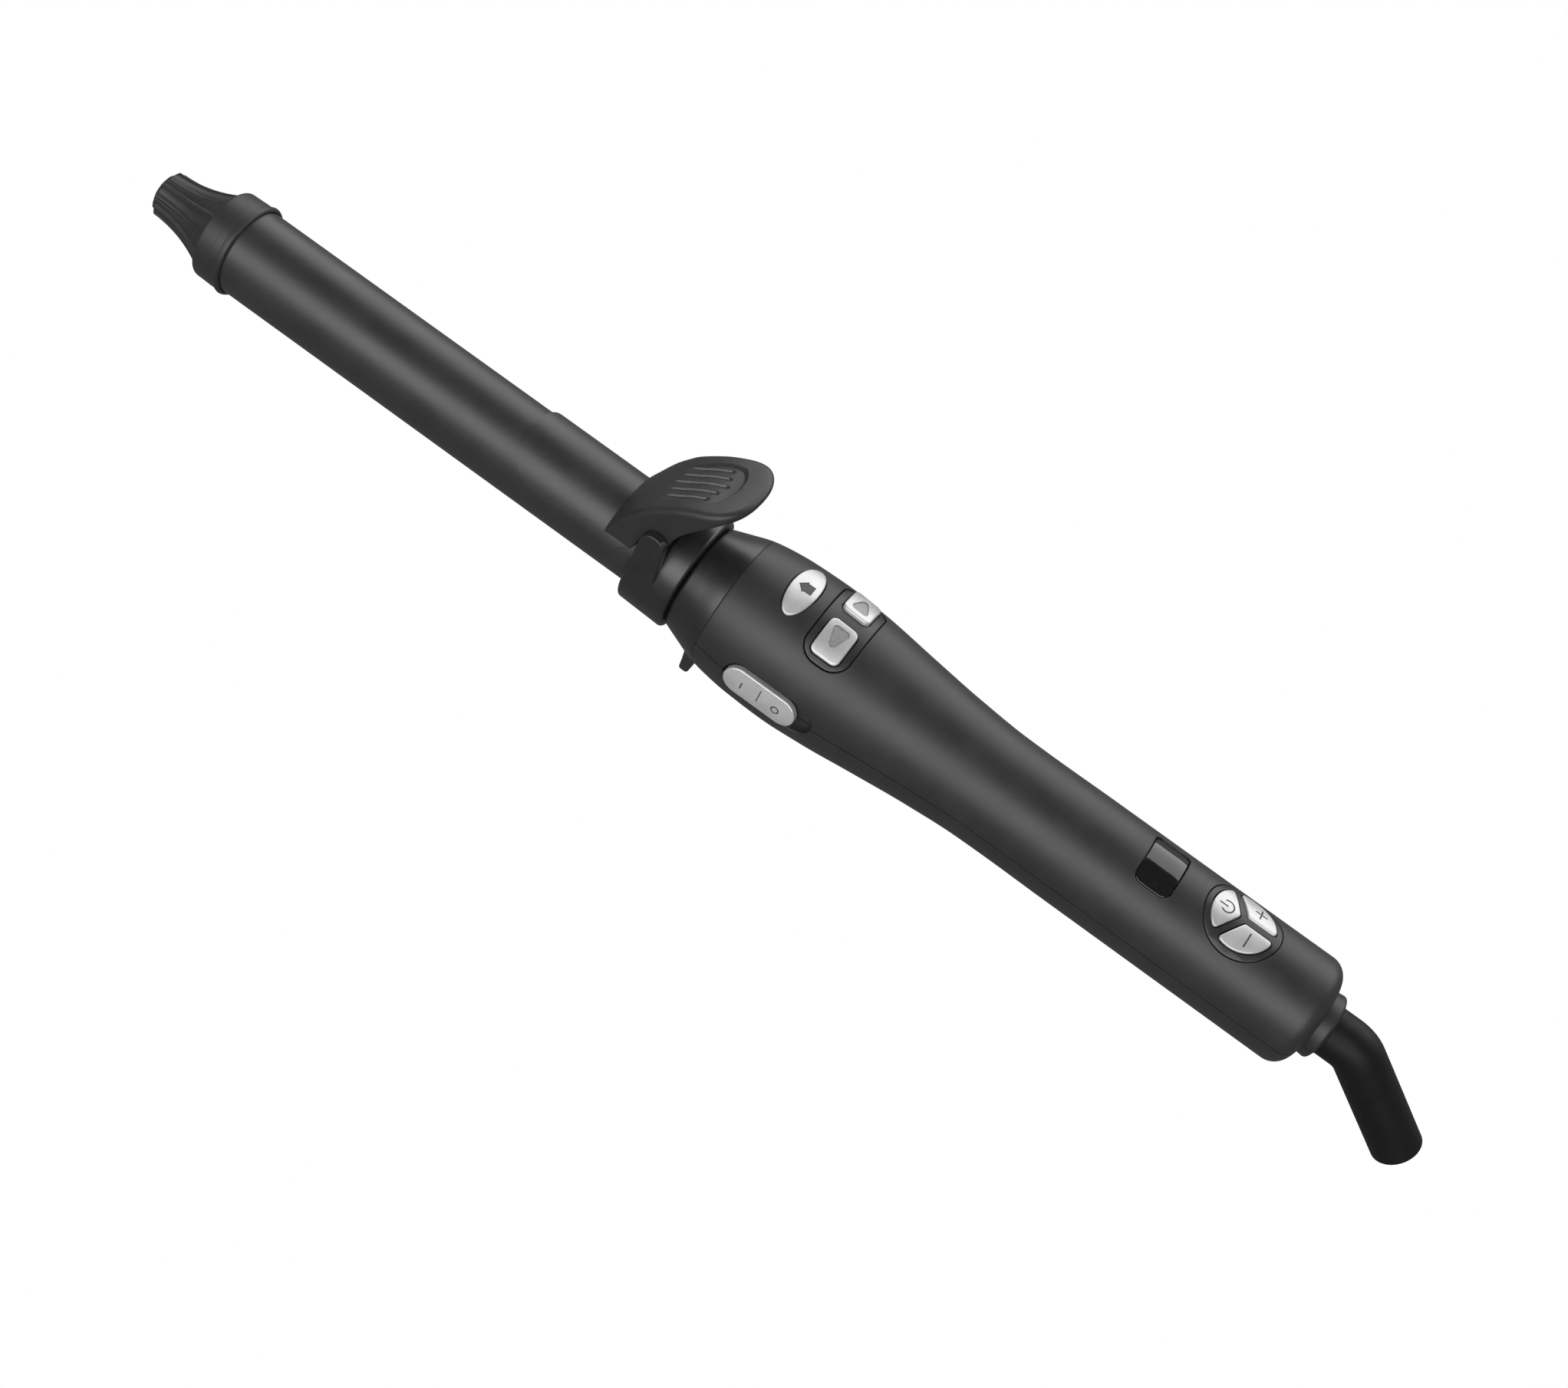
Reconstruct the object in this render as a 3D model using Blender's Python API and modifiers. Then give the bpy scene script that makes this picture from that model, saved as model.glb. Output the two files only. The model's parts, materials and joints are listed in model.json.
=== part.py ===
"""Automatic curling iron: a turning heated barrel with a thumb-lever clamp on a motor handle.

Frame: +X runs along the barrel axis from the cool tip to the cord end, +Z is up (the button
side), and the origin is the centre of the flat underside of the rest foot. All sizes below are
in millimetres; unit() turns them into metres. Shapes are drawn around the barrel axis, with x
measured from the joint between the nose ring and the shells, and the body empties carry them
from there to the foot's frame.
"""
import math

import bmesh
import bpy
from mathutils import Matrix, Vector

# ---- driving dimensions, in millimetres -------------------------------------------------
AXIS_HEIGHT = 28.2       # barrel axis above the surface that the foot rests on
GAP = 0.3                # clearance between neighbouring pieces
SEAM = 0.3               # gap between the two handle shells
TURN_STEPS = 36          # flats around a large turned piece
FINE_STEPS = 20          # flats around a small turned piece

BARREL_RADIUS = 12.7     # one-inch barrel
BARREL_WALL = 1.2
COLLAR_REAR = -163.2     # collar between the cool tip and the barrel
COLLAR_LENGTH = 8.6
COLLAR_LIP = 0.8         # how far the collar stands out from the barrel
COLLAR_OVERLAP = 3.8     # how far the barrel reaches into the collar
TIP_LENGTH = 20.5        # cool tip
TIP_RADIUS = 6.9
TIP_RIBS = 12
RIB_HEIGHT = 0.6

RING_FRONT = -25.9       # hinge bracket that turns with the barrel
RING_REAR = -11.9
RING_WALL = 3.75
POCKET_LENGTH = 7.5
EAR_THICK = 2.4
EAR_RISE = 8.3           # top of the ears above the barrel
HINGE_X = -21.8          # clamp hinge
HINGE_RISE = 4.7
PIN_RADIUS = 1.0

PLATE_FRONT = -68.0      # clamp plate on top of the barrel
PLATE_REAR = -27.0
PLATE_SEAT = 0.28
PLATE_THICK = 0.62
PLATE_ANGLE = 70.0

LEVER_FRONT = -36.0      # thumb lever
LEVER_WIDTH = 11.8       # half width
LEVER_TIP = -4.2
LEVER_TIP_START = -14.5
LEVER_THICK = 2.8
CHEEK_THICK = 2.6

NOSE_FRONT = -11.0       # glossy front ring of the handle
NOSE_REAR = 0.15
NOSE_RADIUS = 15.2
BULGE_RADIUS = 21.1      # handle at the buttons
GRIP_RADIUS = 15.95      # handle behind the waist
SHELL_FRONT = 0.45
SHELL_REAR = 186.0
SHELL_WALL = 2.2
TAIL_FILLET = 5.2
TAIL_RING_RADIUS = 9.2
TAIL_RING_LENGTH = 3.6

HOME_X = 15.9            # oval button
HOME_HALF_X = 4.1
HOME_HALF_Y = 9.4
ARROW_X = 30.25          # pair of arrow buttons in a recessed pill bezel
ARROW_Y = 7.4
ARROW_HALF_X = 4.15
ARROW_HALF_Y = 5.3
ARROW_CORNER = 1.8
PILL_HALF_X = 6.8
PILL_HALF_Y = 14.2
PILL_CORNER = 5.2
DISPLAY_INSET = 54.7     # display window, from the tail end of the handle
DISPLAY_HALF_X = 5.2
DISPLAY_HALF_Y = 8.5
DISPLAY_CORNER = 2.4
DIAL_INSET = 30.6        # round bezel with three sector buttons, from the tail end
DIAL_RADIUS = 11.0
SECTOR_RADIUS = 9.1
SECTOR_SPOKE = 1.15      # half the width of the spokes between the sectors
SECTOR_CORNER = 0.7
BUTTON_PROUD = 0.8
HOME_PROUD = 0.4
SECTOR_PROUD = 0.5
BUTTON_FLANGE = 0.7      # how far a flange reaches past its cap
FLANGE_THICK = 0.6
PRESS_TRAVEL = 0.5
BEZEL_SUNK = 0.35
BEZEL_THICK = 1.8

SLIDER_X = 22.1          # on-off slider, in its position towards the tip
SLIDER_HALF = 11.1
SLIDER_HEIGHT = 4.6      # half height
SLIDER_PROUD = 0.8
SLIDER_TRAVEL = 4.0
SLOT_DEPTH = 1.5
SLOT_MARGIN = 0.6

HUB_RADIUS = 9.0         # rotating hub behind the barrel
HUB_REAR = 8.0
HUB_BORE = 3.0
SLIP_RING_THICK = 1.0
BEARING_WALL = 3.9
SHAFT_RADIUS = 1.5
MOTOR_FRONT = 13.5
MOTOR_LENGTH = 46.5
MOTOR_RADIUS = 8.0
BOARD_THICK = 1.0
REAR_BOARD_Z = 6.0       # underside of the rear circuit board
SCREW_SIDE = 11.6        # screws beside the motor
SCREW_RADIUS = 1.2
SCREW_HEAD = 2.4
POST_RADIUS = 3.0
MIDDLE_SCREW_INSET = 86.0   # screws on the middle line, from the tail end of the handle
TAIL_SCREW_INSET = 10.5

FOOT_X = -2.3            # rest foot
FOOT_THICK = 3.0
FOOT_HALF_WIDTH = 7.3

SLEEVE_RADIUS = 7.0      # bend relief
SLEEVE_BORE = 3.2
SLEEVE_KNEE = 12.9       # from the tail end of the handle to the middle of the bend
SLEEVE_ANGLE = 39.6
SLEEVE_LEG = 35.4
SLEEVE_BEND = 11.0

# ---- sizes that follow ------------------------------------------------------------------
BARREL_BORE = BARREL_RADIUS - BARREL_WALL
BARREL_REAR = RING_REAR - 1.6
BARREL_FRONT = COLLAR_REAR - COLLAR_OVERLAP
COLLAR_FRONT = COLLAR_REAR - COLLAR_LENGTH
COLLAR_RADIUS = BARREL_RADIUS + COLLAR_LIP
TIP_FRONT = COLLAR_FRONT - TIP_LENGTH
RING_RADIUS = BARREL_RADIUS + RING_WALL
EAR_OUTER = RING_RADIUS - 0.15
EAR_INNER = EAR_OUTER - EAR_THICK
HINGE_Z = BARREL_RADIUS + HINGE_RISE
PLATE_INNER = BARREL_RADIUS + PLATE_SEAT
PLATE_OUTER = PLATE_INNER + PLATE_THICK
MOTOR_REAR = MOTOR_FRONT + MOTOR_LENGTH
BOARD_Z = MOTOR_RADIUS + 0.4
BEARING_RADIUS = HUB_RADIUS + GAP + BEARING_WALL
TAIL_RING_REAR = SHELL_REAR + TAIL_RING_LENGTH
DISPLAY_X = SHELL_REAR - DISPLAY_INSET
DIAL_X = SHELL_REAR - DIAL_INSET
KNEE_X = SHELL_REAR + SLEEVE_KNEE
SLIDER_FACE = BULGE_RADIUS + SLIDER_PROUD
SCREW_PLACES = [(46.0, SCREW_SIDE), (46.0, -SCREW_SIDE), (SHELL_REAR - MIDDLE_SCREW_INSET, 0.0),
                (SHELL_REAR - TAIL_SCREW_INSET, 0.0)]
FRONT_SWELL = [          # x, and how far the radius has grown from the nose to the bulge
    (NOSE_FRONT, 0.0), (-5.5, 0.34), (0.3, 0.67), (6.0, 0.84), (13.0, 0.95), (24.0, 1.0),
]
REAR_SWELL = [           # x, and how much of the bulge is left over the grip
    (36.7, 0.855), (52.7, 0.515), (68.7, 0.195), (84.7, 0.0), (96.0, -0.02), (112.0, 0.0),
    (SHELL_REAR, 0.0),
]
HANDLE_STATIONS = (
    [(x, NOSE_RADIUS + share * (BULGE_RADIUS - NOSE_RADIUS)) for x, share in FRONT_SWELL]
    + [(x, GRIP_RADIUS + share * (BULGE_RADIUS - GRIP_RADIUS)) for x, share in REAR_SWELL])


def unit(value):
    """Millimetres to metres."""
    return value * 0.001


# ---- scene helpers ----------------------------------------------------------------------
for old in list(bpy.data.objects):
    bpy.data.objects.remove(old, do_unlink=True)

PARTS = bpy.data.collections.new("curling_iron")
CUTTERS = bpy.data.collections.new("cutters")
bpy.context.scene.collection.children.link(PARTS)
bpy.context.scene.collection.children.link(CUTTERS)

BODY_PLACES = {          # joint points of the bodies, in millimetres from the barrel axis
    "handle": (0.0, 0.0, 0.0),
    "barrel": (0.0, 0.0, 0.0),
    "lever": (HINGE_X, 0.0, HINGE_Z),
    "sleeve": (TAIL_RING_REAR, 0.0, 0.0),
    "home": (HOME_X, 0.0, 0.0),
    "left": (ARROW_X, -ARROW_Y, 0.0),
    "right": (ARROW_X, ARROW_Y, 0.0),
    "power": (DIAL_X, 0.0, 0.0),
    "plus": (DIAL_X, 0.0, 0.0),
    "minus": (DIAL_X, 0.0, 0.0),
    "slider": (SLIDER_X, 0.0, 0.0),
}
ORIGIN_OFFSET = Vector((unit(-FOOT_X), 0.0, unit(AXIS_HEIGHT)))
BODIES = {}
for body_name, place in BODY_PLACES.items():
    empty = bpy.data.objects.new("body_" + body_name, None)
    empty.location = Vector(place) * 0.001 + ORIGIN_OFFSET
    CUTTERS.objects.link(empty)
    BODIES[body_name] = empty


def material(name, colour, roughness, metallic=0.0):
    """Principled material for one kind of surface."""
    made = bpy.data.materials.new(name)
    made.use_nodes = True
    shader = made.node_tree.nodes["Principled BSDF"]
    shader.inputs["Base Color"].default_value = (*colour, 1.0)
    shader.inputs["Roughness"].default_value = roughness
    shader.inputs["Metallic"].default_value = metallic
    return made


SOFT_TOUCH = material("soft_touch_grey", (0.045, 0.045, 0.045), 0.45)
GLOSS = material("gloss_black", (0.02, 0.02, 0.02), 0.2)
COATING = material("ceramic_coating", (0.045, 0.045, 0.045), 0.4)
SILVER = material("satin_silver", (0.5, 0.5, 0.5), 0.35, 0.8)
BEZEL_GREY = material("bezel_grey", (0.04, 0.04, 0.04), 0.4)
RUBBER = material("black_rubber", (0.01, 0.01, 0.01), 0.5)
LENS = material("smoked_lens", (0.01, 0.01, 0.01), 0.08)
STEEL = material("steel", (0.55, 0.55, 0.56), 0.3, 1.0)
BRASS = material("brass", (0.7, 0.5, 0.2), 0.3, 1.0)
ALUMINIUM = material("aluminium", (0.6, 0.6, 0.62), 0.4, 1.0)
CERAMIC = material("white_ceramic", (0.8, 0.8, 0.78), 0.5)
BOARD_GREEN = material("board_green", (0.02, 0.12, 0.05), 0.4)
NYLON = material("black_nylon", (0.02, 0.02, 0.02), 0.5)


def new_object(name, mesh):
    """Object for a mesh, linked to the cutters until finish() makes it a part."""
    made = bpy.data.objects.new(name, mesh)
    CUTTERS.objects.link(made)
    made.hide_render = True
    made.display_type = "WIRE"
    return made


def finish(made, surface, body="handle"):
    """Turn a shape into a named part on its body."""
    CUTTERS.objects.unlink(made)
    PARTS.objects.link(made)
    made.hide_render = False
    made.display_type = "TEXTURED"
    made.data.materials.clear()
    made.data.materials.append(surface)
    made.parent = BODIES[body]
    made.location = made.location - Vector(BODY_PLACES[body]) * 0.001
    made.data.shade_smooth()
    made.data.set_sharp_from_angle(angle=math.radians(35))
    return made


def lift(made):
    """Move a shape from the drawing's zero on the barrel axis into the foot's frame."""
    made.parent = BODIES["handle"]
    return made


def boolean(target, other, operation="DIFFERENCE"):
    """Add an exact Boolean with another shape."""
    cut = target.modifiers.new(operation.lower() + "_" + other.name, "BOOLEAN")
    cut.operation = operation
    cut.solver = "EXACT"
    cut.object = other
    return target


def turned(name, outline, steps=TURN_STEPS):
    """Solid turned about the X axis from a closed (x, radius) outline, tail end first outside."""
    mesh = bpy.data.meshes.new(name)
    points = [(unit(max(radius, 0.0)), 0.0, unit(x)) for x, radius in outline]
    edges = [(i, (i + 1) % len(points)) for i in range(len(points))]
    if outline[0][1] <= 0.0 and outline[-1][1] <= 0.0:
        edges.pop()
    mesh.from_pydata(points, edges, [])
    made = new_object(name, mesh)
    made.rotation_euler = (0.0, math.pi / 2, 0.0)
    screw = made.modifiers.new("turn", "SCREW")
    screw.axis = "Z"
    screw.angle = 2 * math.pi
    screw.steps = steps
    screw.render_steps = steps
    screw.use_merge_vertices = True
    screw.merge_threshold = 0.00001
    screw.use_normal_calculate = False
    return lift(made)


def rod(name, x_start, x_end, radius, bore=0.0, steps=TURN_STEPS):
    """Plain round bar or tube along X."""
    if bore > 0.0:
        outline = [(x_end, radius), (x_start, radius), (x_start, bore), (x_end, bore)]
    else:
        outline = [(x_end, 0.0), (x_end, radius), (x_start, radius), (x_start, 0.0)]
    return turned(name, outline, steps)


def prism(name, outline, low, high, plane="XY"):
    """Flat outline extruded from low to high, standing on the XY plane or the XZ plane."""
    curve = bpy.data.curves.new(name, "CURVE")
    curve.dimensions = "2D"
    curve.fill_mode = "BOTH"
    curve.extrude = unit(high - low) / 2
    spline = curve.splines.new("POLY")
    spline.points.add(len(outline) - 1)
    for point, (a, b) in zip(spline.points, outline):
        point.co = (unit(a), unit(b), 0.0, 1.0)
    spline.use_cyclic_u = True
    drawn = bpy.data.objects.new(name + "_curve", curve)
    CUTTERS.objects.link(drawn)
    mesh = bpy.data.meshes.new_from_object(drawn.evaluated_get(bpy.context.evaluated_depsgraph_get()))
    bpy.data.objects.remove(drawn, do_unlink=True)
    shape = bmesh.new()
    shape.from_mesh(mesh)
    bmesh.ops.remove_doubles(shape, verts=shape.verts, dist=0.000001)
    middle = unit(low + high) / 2
    if plane == "XZ":
        turn = Matrix.Rotation(math.pi / 2, 4, "X")
        bmesh.ops.transform(shape, matrix=turn, verts=shape.verts)
        bmesh.ops.translate(shape, vec=(0.0, middle, 0.0), verts=shape.verts)
    else:
        bmesh.ops.translate(shape, vec=(0.0, 0.0, middle), verts=shape.verts)
    bmesh.ops.recalc_face_normals(shape, faces=shape.faces)
    shape.to_mesh(mesh)
    shape.free()
    mesh.name = name
    return lift(new_object(name, mesh))


def box(name, low, high):
    """Box between two corners."""
    outline = [(low[0], low[1]), (high[0], low[1]), (high[0], high[1]), (low[0], high[1])]
    return prism(name, outline, low[2], high[2])


def post(name, x, y, low, high, radius, steps=FINE_STEPS):
    """Upright round bar."""
    outline = circle(x, y, radius, steps)
    return prism(name, outline, low, high)


# ---- outlines ---------------------------------------------------------------------------
def circle(x, y, radius, steps=FINE_STEPS):
    """Points around a circle."""
    return ellipse(x, y, radius, radius, steps)


def ellipse(x, y, half_x, half_y, steps=36):
    """Points around an ellipse."""
    turns = [2 * math.pi * i / steps for i in range(steps)]
    return [(x + half_x * math.cos(t), y + half_y * math.sin(t)) for t in turns]


def arc(x, y, radius, start, end, steps):
    """Points along an arc, its angles in degrees."""
    angles = [math.radians(start + (end - start) * i / steps) for i in range(steps + 1)]
    return [(x + radius * math.cos(a), y + radius * math.sin(a)) for a in angles]


def rounded_rectangle(x, y, half_x, half_y, corner, steps=5):
    """Rectangle with round corners."""
    points = []
    for sign_x, sign_y, start in ((1, 1, 0), (-1, 1, 90), (-1, -1, 180), (1, -1, 270)):
        centre_x = x + sign_x * (half_x - corner)
        centre_y = y + sign_y * (half_y - corner)
        points += arc(centre_x, centre_y, corner, start, start + 90, steps)
    return points


def sector(direction, grow=0.0):
    """Third of the dial around a direction in degrees, its corners rounded."""
    corner = SECTOR_CORNER + grow
    inset = SECTOR_SPOKE + SECTOR_CORNER
    reach = SECTOR_RADIUS - SECTOR_CORNER
    swing = math.degrees(math.asin(inset / reach))
    apex = inset / math.sin(math.radians(60))
    low, high = direction - 60, direction + 60
    centre_x = DIAL_X + apex * math.cos(math.radians(direction))
    centre_y = apex * math.sin(math.radians(direction))
    points = arc(centre_x, centre_y, corner, direction + 150, direction + 210, 3)
    centre_x = DIAL_X + reach * math.cos(math.radians(low + swing))
    centre_y = reach * math.sin(math.radians(low + swing))
    points += arc(centre_x, centre_y, corner, low - 90, low + swing, 3)
    points += arc(DIAL_X, 0.0, SECTOR_RADIUS + grow, low + swing, high - swing, 12)[1:-1]
    centre_x = DIAL_X + reach * math.cos(math.radians(high - swing))
    centre_y = reach * math.sin(math.radians(high - swing))
    points += arc(centre_x, centre_y, corner, high - swing, high + 90, 3)
    return points


def smooth_value(stations, x):
    """Value of a smooth curve through (x, value) stations, with no overshoot."""
    if x <= stations[0][0]:
        return stations[0][1]
    if x >= stations[-1][0]:
        return stations[-1][1]
    slopes = [(b[1] - a[1]) / (b[0] - a[0]) for a, b in zip(stations, stations[1:])]
    tangents = [slopes[0]]
    for before, after in zip(slopes, slopes[1:]):
        tangents.append(0.0 if before * after <= 0 else 2 * before * after / (before + after))
    tangents.append(slopes[-1])
    index = max(i for i in range(len(stations) - 1) if stations[i][0] <= x)
    (x0, v0), (x1, v1) = stations[index], stations[index + 1]
    width = x1 - x0
    t = (x - x0) / width
    return ((2 * t ** 3 - 3 * t ** 2 + 1) * v0 + (t ** 3 - 2 * t ** 2 + t) * width * tangents[index]
            + (3 * t ** 2 - 2 * t ** 3) * v1 + (t ** 3 - t ** 2) * width * tangents[index + 1])


def handle_radius(x):
    """Outer radius of the handle at x, without the fillet at its tail."""
    return smooth_value(HANDLE_STATIONS, x)


def spaced(start, end, count):
    """Evenly spaced values from start to end."""
    return [start + (end - start) * i / count for i in range(count + 1)]


def skin(name, start, end, outer, inner=None, count=12):
    """Band that follows the handle's surface, its faces offset by outer and inner."""
    stations = spaced(start, end, count)
    outline = [(x, handle_radius(x) + outer) for x in reversed(stations)]
    if inner is None:
        outline = [(end, 0.0)] + outline + [(start, 0.0)]
    else:
        outline += [(x, handle_radius(x) + inner) for x in stations]
    return turned(name, outline)


# ---- barrel -----------------------------------------------------------------------------
def tip_radius(x):
    """Radius of the cool tip between its ribs: a trumpet that flares towards the collar."""
    share = (x - TIP_FRONT) / (COLLAR_FRONT - TIP_FRONT)
    return TIP_RADIUS - RIB_HEIGHT + (BARREL_RADIUS - 0.5 - TIP_RADIUS) * share ** 2.2


def make_cool_tip():
    """Fluted trumpet with a spigot that plugs the barrel."""
    stations = spaced(COLLAR_FRONT - GAP, TIP_FRONT + 0.6, 7)
    outline = [(x, tip_radius(x)) for x in stations]
    plug = BARREL_BORE - GAP
    outline = ([(COLLAR_REAR + 6.0, plug - 2.8), (COLLAR_REAR + 6.0, plug),
                (COLLAR_FRONT - GAP, plug)] + outline
               + [(TIP_FRONT, TIP_RADIUS - 1.3), (TIP_FRONT, 0.0)])
    outline += [(COLLAR_FRONT + 2.0, 0.0), (COLLAR_FRONT + 2.0, plug - 2.8)]
    tip = turned("cool_tip", outline, TIP_RIBS * 4)
    rib_top = [(x, tip_radius(x) + RIB_HEIGHT) for x in spaced(COLLAR_FRONT - GAP, TIP_FRONT, 5)]
    rib_foot = [(x, tip_radius(x) - 1.5) for x in spaced(TIP_FRONT, COLLAR_FRONT - GAP, 5)]
    for index in range(TIP_RIBS // 2):
        rib = prism("tip_rib_%d" % index, rib_top + rib_foot, -0.45, 0.45, "XZ")
        mirrored = prism("tip_rib_%d_far" % index, [(x, -z) for x, z in rib_top + rib_foot],
                         -0.45, 0.45, "XZ")
        for piece in (rib, mirrored):
            piece.rotation_euler = (2 * math.pi * index / TIP_RIBS, 0.0, 0.0)
            boolean(tip, piece, "UNION")
    finish(tip, SOFT_TOUCH, "barrel")


def make_collar():
    """Flared collar that covers the joint between the tip and the barrel."""
    outer = [(COLLAR_REAR, BARREL_RADIUS + 0.3), (COLLAR_REAR - 0.6, COLLAR_RADIUS - 0.15),
             (COLLAR_REAR - 1.6, COLLAR_RADIUS), (COLLAR_FRONT + 0.8, COLLAR_RADIUS - 0.45),
             (COLLAR_FRONT, COLLAR_RADIUS - 1.0)]
    inner = [(COLLAR_FRONT, BARREL_BORE), (BARREL_FRONT - GAP, BARREL_BORE),
             (BARREL_FRONT - GAP, BARREL_RADIUS + 0.25), (COLLAR_REAR, BARREL_RADIUS + 0.25)]
    finish(turned("tip_collar", outer + inner), SOFT_TOUCH, "barrel")


def make_barrel():
    """Coated barrel tube and the heater stack that presses on its bore."""
    tube = rod("barrel_tube", BARREL_FRONT, BARREL_REAR, BARREL_RADIUS, BARREL_BORE)
    finish(tube, COATING, "barrel")
    shoe_front, shoe_rear = COLLAR_REAR + 13.2, RING_FRONT - 36.1
    core_half_z = 1.3
    finish(box("heater_core", (shoe_front, -6.0, -core_half_z), (shoe_rear, 6.0, core_half_z)),
           CERAMIC, "barrel")
    flat = core_half_z + GAP
    for name, side in (("heater_shoe_upper", 1), ("heater_shoe_lower", -1)):
        shoe = rod(name, shoe_front, shoe_rear, BARREL_BORE - GAP, 0.0, FINE_STEPS)
        away = box(name + "_half", (shoe_front - 5, -20, -30.0 if side > 0 else -flat),
                   (shoe_rear + 5, 20, flat if side > 0 else 30.0))
        boolean(shoe, away)
        finish(shoe, ALUMINIUM, "barrel")
    fuse = box("thermal_fuse", (shoe_rear + 4.0, -4.0, -2.0), (shoe_rear + 16.0, 4.0, 2.0))
    finish(fuse, CERAMIC, "barrel")


def make_hub():
    """Hub that carries the barrel in the handle's bearing, its slip rings and its drive."""
    plug = BARREL_BORE - GAP
    hub = turned("barrel_hub", [
        (HUB_REAR, HUB_BORE), (HUB_REAR, HUB_RADIUS - 0.5), (HUB_REAR - 1.0, HUB_RADIUS),
        (RING_REAR - 0.9, HUB_RADIUS), (RING_REAR - 0.9, plug), (-40.0, plug), (-40.0, HUB_BORE)])
    finish(hub, NYLON, "barrel")
    for name, start in (("slip_ring_front", -3.2), ("slip_ring_rear", 0.4)):
        ring = rod(name, start, start + 2.4, HUB_RADIUS + GAP + SLIP_RING_THICK, HUB_RADIUS + GAP)
        finish(ring, BRASS, "barrel")
    coupling_front = HUB_REAR + GAP
    coupling = turned("drive_coupling", [
        (MOTOR_FRONT - 1.2, SHAFT_RADIUS + GAP), (MOTOR_FRONT - 1.2, 5.6), (coupling_front, 6.0),
        (coupling_front, 0.0), (coupling_front + 1.0, 0.0),
        (coupling_front + 1.0, SHAFT_RADIUS + GAP)], FINE_STEPS)
    finish(coupling, NYLON, "barrel")
    shaft = rod("motor_shaft", coupling_front + 1.0 + GAP, MOTOR_FRONT + 8.0, SHAFT_RADIUS, 0.0, 16)
    finish(shaft, STEEL, "barrel")


def make_hinge_bracket():
    """Ring with two upright ears and an open pocket between them for the lever."""
    bore = BARREL_RADIUS + GAP
    ring = turned("hinge_bracket", [
        (RING_REAR, bore), (RING_REAR, RING_RADIUS - 0.6), (RING_REAR - 0.5, RING_RADIUS),
        (RING_FRONT + 0.8, RING_RADIUS), (RING_FRONT, RING_RADIUS - 0.8), (RING_FRONT, bore)])
    pocket_floor = BARREL_RADIUS - 3.3
    pocket = box("bracket_pocket", (RING_FRONT - 2, -EAR_INNER, pocket_floor),
                 (RING_FRONT + POCKET_LENGTH, EAR_INNER, 30.0))
    boolean(ring, pocket)
    top_x, top_r = -21.7, 3.6
    top_z = BARREL_RADIUS + EAR_RISE - top_r
    ear_outline = ([(RING_FRONT + 0.6, 2.0), (-17.4, 2.0), (top_x + top_r, top_z)]
                   + arc(top_x, top_z, top_r, 20, 160, 8) + [(RING_FRONT + 0.4, BARREL_RADIUS + 2.3)])
    hole = circle(HINGE_X, HINGE_Z, PIN_RADIUS + GAP, 16)
    for side in (-1, 1):
        low, high = sorted((side * EAR_INNER, side * EAR_OUTER))
        ear = prism("ear_%d" % side, ear_outline, low, high, "XZ")
        boolean(ring, ear, "UNION")
        low, high = sorted((side * (EAR_INNER - 1.0), side * (EAR_OUTER - 0.7)))
        boolean(ring, prism("ear_hole_%d" % side, hole, low, high, "XZ"))
    finish(ring, GLOSS, "barrel")
    pin = prism("hinge_pin", circle(HINGE_X, HINGE_Z, PIN_RADIUS, 16),
                -(EAR_OUTER - 1.0), EAR_OUTER - 1.0, "XZ")
    finish(pin, STEEL, "barrel")


# ---- clamp lever ------------------------------------------------------------------------
LEVER_TOP = [            # height above the barrel of the lever's top, along its middle
    (-36.0, 2.2), (-34.0, 5.0), (-30.0, 9.8), (-26.0, 13.9), (-20.0, 19.1), (-14.0, 22.9),
    (-8.0, 25.9), (-4.0, 27.5),
]
LEVER_WEB = [            # rear edge of the cheeks, from the paddle down to the hinge
    (-9.6, 20.7), (-12.5, 17.3), (-14.4, 14.8), (-16.2, 11.9), (-17.6, 8.7), (-18.4, 5.9),
]
LEVER_SHOULDER = [       # height above the barrel where the lever's top rounds off sideways
    (-24.0, 20.3), (-28.0, 14.5), (-30.0, 11.9), (-32.0, 9.2), (-34.0, 6.0), (LEVER_FRONT, 2.4),
]
RIVET_PLACES = (-33.2, -30.2)


def lever_top(x):
    """Height of the lever's top above the barrel axis."""
    return BARREL_RADIUS + smooth_value(LEVER_TOP, x)


def lever_outline(drop=0.0, front=LEVER_FRONT, rear=LEVER_TIP, count=16):
    """Line along the lever's top, or below it by drop."""
    return [(x, lever_top(x) - drop) for x in spaced(front, rear, count)]


def lever_plan():
    """Outline of the lever from above: straight sides and a rounded thumb end."""
    reach = LEVER_TIP - LEVER_TIP_START
    far_side = []
    for angle in spaced(90.0, 0.0, 12):
        x = LEVER_TIP_START + reach * math.cos(math.radians(angle)) ** 0.85
        y = LEVER_WIDTH * math.sin(math.radians(angle)) ** 0.85
        far_side.append((x, y))
    outline = [(LEVER_FRONT - 1.0, LEVER_WIDTH + 0.3)] + far_side
    return outline + [(x, -y) for x, y in reversed(outline[:-1])]


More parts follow.
